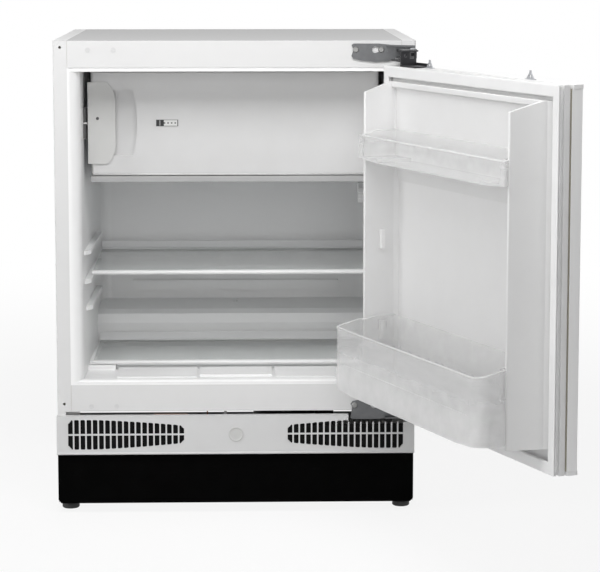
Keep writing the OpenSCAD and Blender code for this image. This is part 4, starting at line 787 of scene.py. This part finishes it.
# Door racks: clear polystyrene, moulded in one piece each and hung on the cheeks' bosses. The
# plastic looks milky towards the floor, where the wall is thicker.
def clear_plastic(rack, milky_rise, clear_rise, share):
    """Clear plastic that turns milky by a share, between two heights above a rack's floor."""
    clear = Finish(rack + "_plastic")
    place = clear.place()
    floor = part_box(rack)[0].z
    swirl = clear.cloud(place, size=0.02, detail=3)
    fine = clear.cloud(place, size=0.003)
    milky = clear.ramp(clear.along("Z"), floor + milky_rise, floor + clear_rise, share, 0.0)
    return clear.surface({
        "Base Color": clear.blended(swirl, grey(0.8), grey(0.88)),
        "Roughness": 0.08 + swirl * 0.08 + milky * 0.15,
        "Alpha": 0.2 + swirl * 0.1 + milky,
        "IOR": 1.5,
        "Normal": clear.relief(swirl + fine * 0.1, depth=0.0001),
    })


upper_plastic = clear_plastic("upper_rack", milky_rise=0.002, clear_rise=0.04, share=0.25)
dress(upper_plastic, "upper_rack", edge=0.0005)
lower_plastic = clear_plastic("lower_rack", milky_rise=0.0105, clear_rise=0.0835, share=0.42)
dress(lower_plastic, "lower_rack", edge=0.0005)


# Rack rims: the same plastic, rolled over to a thicker bead along each rack's upper edge, which
# stiffens the thin wall. The bead is whiter and less clear than the rack, a painted highlight for the
# light that the racks' edges catch.
def rim_highlight_plastic():
    rim = Finish("rim_highlight_plastic")
    swirl = rim.cloud(rim.place(), size=0.01, detail=3)
    return rim.surface({
        "Base Color": rim.blended(swirl, grey(0.86), grey(0.93)),
        "Roughness": 0.12 + swirl * 0.1,
        "Alpha": 0.5 + swirl * 0.15,
        "Normal": rim.relief(swirl, depth=0.00005),
    })


def bead(name, path, radius, finish, body):
    """A round bead along a path of places on the shut door, mitred at its bends."""
    rows = []
    for i, point in enumerate(path):
        before = (point - path[i - 1]).normalized() if i else (path[1] - point).normalized()
        after = (path[i + 1] - point).normalized() if i + 1 < len(path) else before
        along = (before + after).normalized()
        side = along.cross(Vector((0, 0, 1))).normalized()
        top = side.cross(along)
        mitre = 1 / max(0.5, along.dot(before))
        row = []
        for k in range(12):
            turn = math.radians(30 * k)
            out = side * mitre * math.cos(turn) + top * math.sin(turn)
            row.append(opened(*(point + out * radius)))
        rows.append(row)
    lofted(name, rows, finish, body)


def round_corner(x, y, radius, side):
    """Points of a rack's front corner about its middle, from its side wall to its front wall."""
    turns = [math.radians(10 * k) for k in range(10)]
    return [(x + side * radius * math.cos(turn), y + radius * math.sin(turn)) for turn in turns]


def rack_rim(rack, finish, drop, free_round, hinge_round):
    """The bead on a rack's rim: level along both sides, then down a slant and round the front."""
    wall = 0.0022
    rim_start = 0.002
    level_end = 0.037
    step_start = 0.0575
    step_end = 0.0581
    bead_radius = 0.00125
    bead_sink = 0.0004
    rack_high = shut_box(rack)[1]
    wide = rack_high.x - wall / 2
    narrow = wide - 0.012
    front = rack_high.y - wall / 2
    slant = drop / (rack_high.y - wall - level_end)
    side_plan = [(narrow, rim_start), (narrow, level_end), (narrow, step_start), (wide, step_end)]
    free_corner = round_corner(free_round - wide, front - free_round, free_round, -1)
    hinge_corner = round_corner(wide - hinge_round, front - hinge_round, hinge_round, 1)
    plan = [(-x, y) for x, y in side_plan] + free_corner + hinge_corner[::-1] + side_plan[::-1]
    path = [
        Vector((x, y, rack_high.z - bead_sink - min(drop, max(0, y - level_end) * slant)))
        for x, y in plan
    ]
    bead(rack + "_rim", path, bead_radius, finish, rack)


# Painted highlight: a whiter bead on each rack's rim.
rim_highlight_finish = rim_highlight_plastic()
rack_rim("upper_rack", rim_highlight_finish, drop=0.008, free_round=0.004, hinge_round=0.004)
rack_rim("lower_rack", rim_highlight_finish, drop=0.015, free_round=0.0219, hinge_round=0.0089)


# Clips: two pressed steel tongues, zinc plated and riveted on the door's top edge. They hold the
# furniture door in front of this one.
dress(zinc_plate, "furniture_clips")


# Floor: a plain pale studio floor. It fades to white away from the object, and keeps the object's
# shadow near it.
def looked_at(finish):
    """1 for what the camera sees, straight, in gloss or through glass, and 0 for what only lights."""
    rays = [
        finish.node("ShaderNodeLightPath", out="Is %s Ray" % kind)
        for kind in ("Camera", "Glossy", "Transmission")
    ]
    return (rays[0] + rays[1] + rays[2]).at_most(1)


floor_radius = 7
floor_drop = 0.0003
circle = bmesh.new()
bmesh.ops.create_circle(circle, cap_ends=True, radius=floor_radius, segments=96)
floor_mesh = bpy.data.meshes.new("floor")
circle.to_mesh(floor_mesh)
circle.free()
floor = bpy.data.objects.new("floor", floor_mesh)
floor.location.z = -floor_drop
bpy.context.scene.collection.objects.link(floor)

pale_floor = Finish("pale_floor")
reach = pale_floor.node(
    "ShaderNodeVectorMath", {"operation": "LENGTH"}, {0: pale_floor.place()}, "Value"
)
fade = pale_floor.ramp(reach, start=0.6, end=3.0, low=0.86, high=1.0)
matt = pale_floor.node("ShaderNodeBsdfPrincipled", None, {"Base Color": grey(0.9), "Roughness": 0.9})
white = pale_floor.node("ShaderNodeEmission", None, {"Color": grey(1.0), "Strength": 1.0})
share = looked_at(pale_floor) * fade
floor_shader = pale_floor.node("ShaderNodeMixShader", None, {0: share, 1: matt, 2: white})
pale_floor.node("ShaderNodeOutputMaterial", None, {"Surface": floor_shader})
floor.data.materials.append(pale_floor.owner)


# Backdrop: white to look at, while it lights the object only a little, as the walls of a large
# studio do.
studio = Finish("studio", bpy.data.worlds)
bpy.context.scene.world = studio.owner
room = studio.node("ShaderNodeBackground", None, {"Color": grey(1.0), "Strength": 0.1})
backdrop = studio.node("ShaderNodeBackground", None, {"Color": grey(1.0), "Strength": 1.0})
air = studio.node("ShaderNodeMixShader", None, {0: looked_at(studio), 1: room, 2: backdrop})
studio.node("ShaderNodeOutputWorld", None, {"Surface": air})


# Lamps: four large soft boxes, above, on the left, behind and in front. The one on the left is the
# strongest, so the cold space and the door are shaded from one side.
def soft_box(name, place, aim, size, power):
    lamp = bpy.data.lights.new(name, "AREA")
    lamp.shape = "RECTANGLE"
    lamp.size, lamp.size_y = size
    lamp.energy = power
    made = bpy.data.objects.new(name, lamp)
    made.location = place
    made.rotation_euler = (Vector(aim) - Vector(place)).to_track_quat("-Z", "Y").to_euler()
    bpy.context.scene.collection.objects.link(made)


soft_box("overhead", place=(0, -0.9, 1.7), aim=(0, 0, 0.5), size=(1.6, 0.6), power=17.3)
soft_box("side", place=(-2.6, -1.0, 1.6), aim=(0, 0, 0.45), size=(1.6, 1.6), power=31.5)
soft_box("rear", place=(1.7, 2.9, 1.7), aim=(0, 0.3, 0.4), size=(1.6, 1.6), power=16)
soft_box("front", place=(0, -3.7, 1.3), aim=(0, 0, 0.45), size=(1.6, 1.2), power=20)


# Camera: a long lens a little above the worktop, looking slightly down. It's shifted a little, so
# that the upright edges stay as upright as in the photograph.
tilt_down = 7.198
turn_right = 1.565
camera_lens = bpy.data.cameras.new("camera")
camera_lens.sensor_width = 36
camera_lens.lens = 133.2
camera_lens.shift_y = -0.1
camera = bpy.data.objects.new("camera", camera_lens)
camera.location = (0.0077, -3.6523, 0.9446)
camera.rotation_euler = (math.radians(90 - tilt_down), 0, math.radians(-turn_right))
bpy.context.scene.collection.objects.link(camera)
bpy.context.scene.camera = camera
bpy.context.scene.view_settings.view_transform = "Standard"
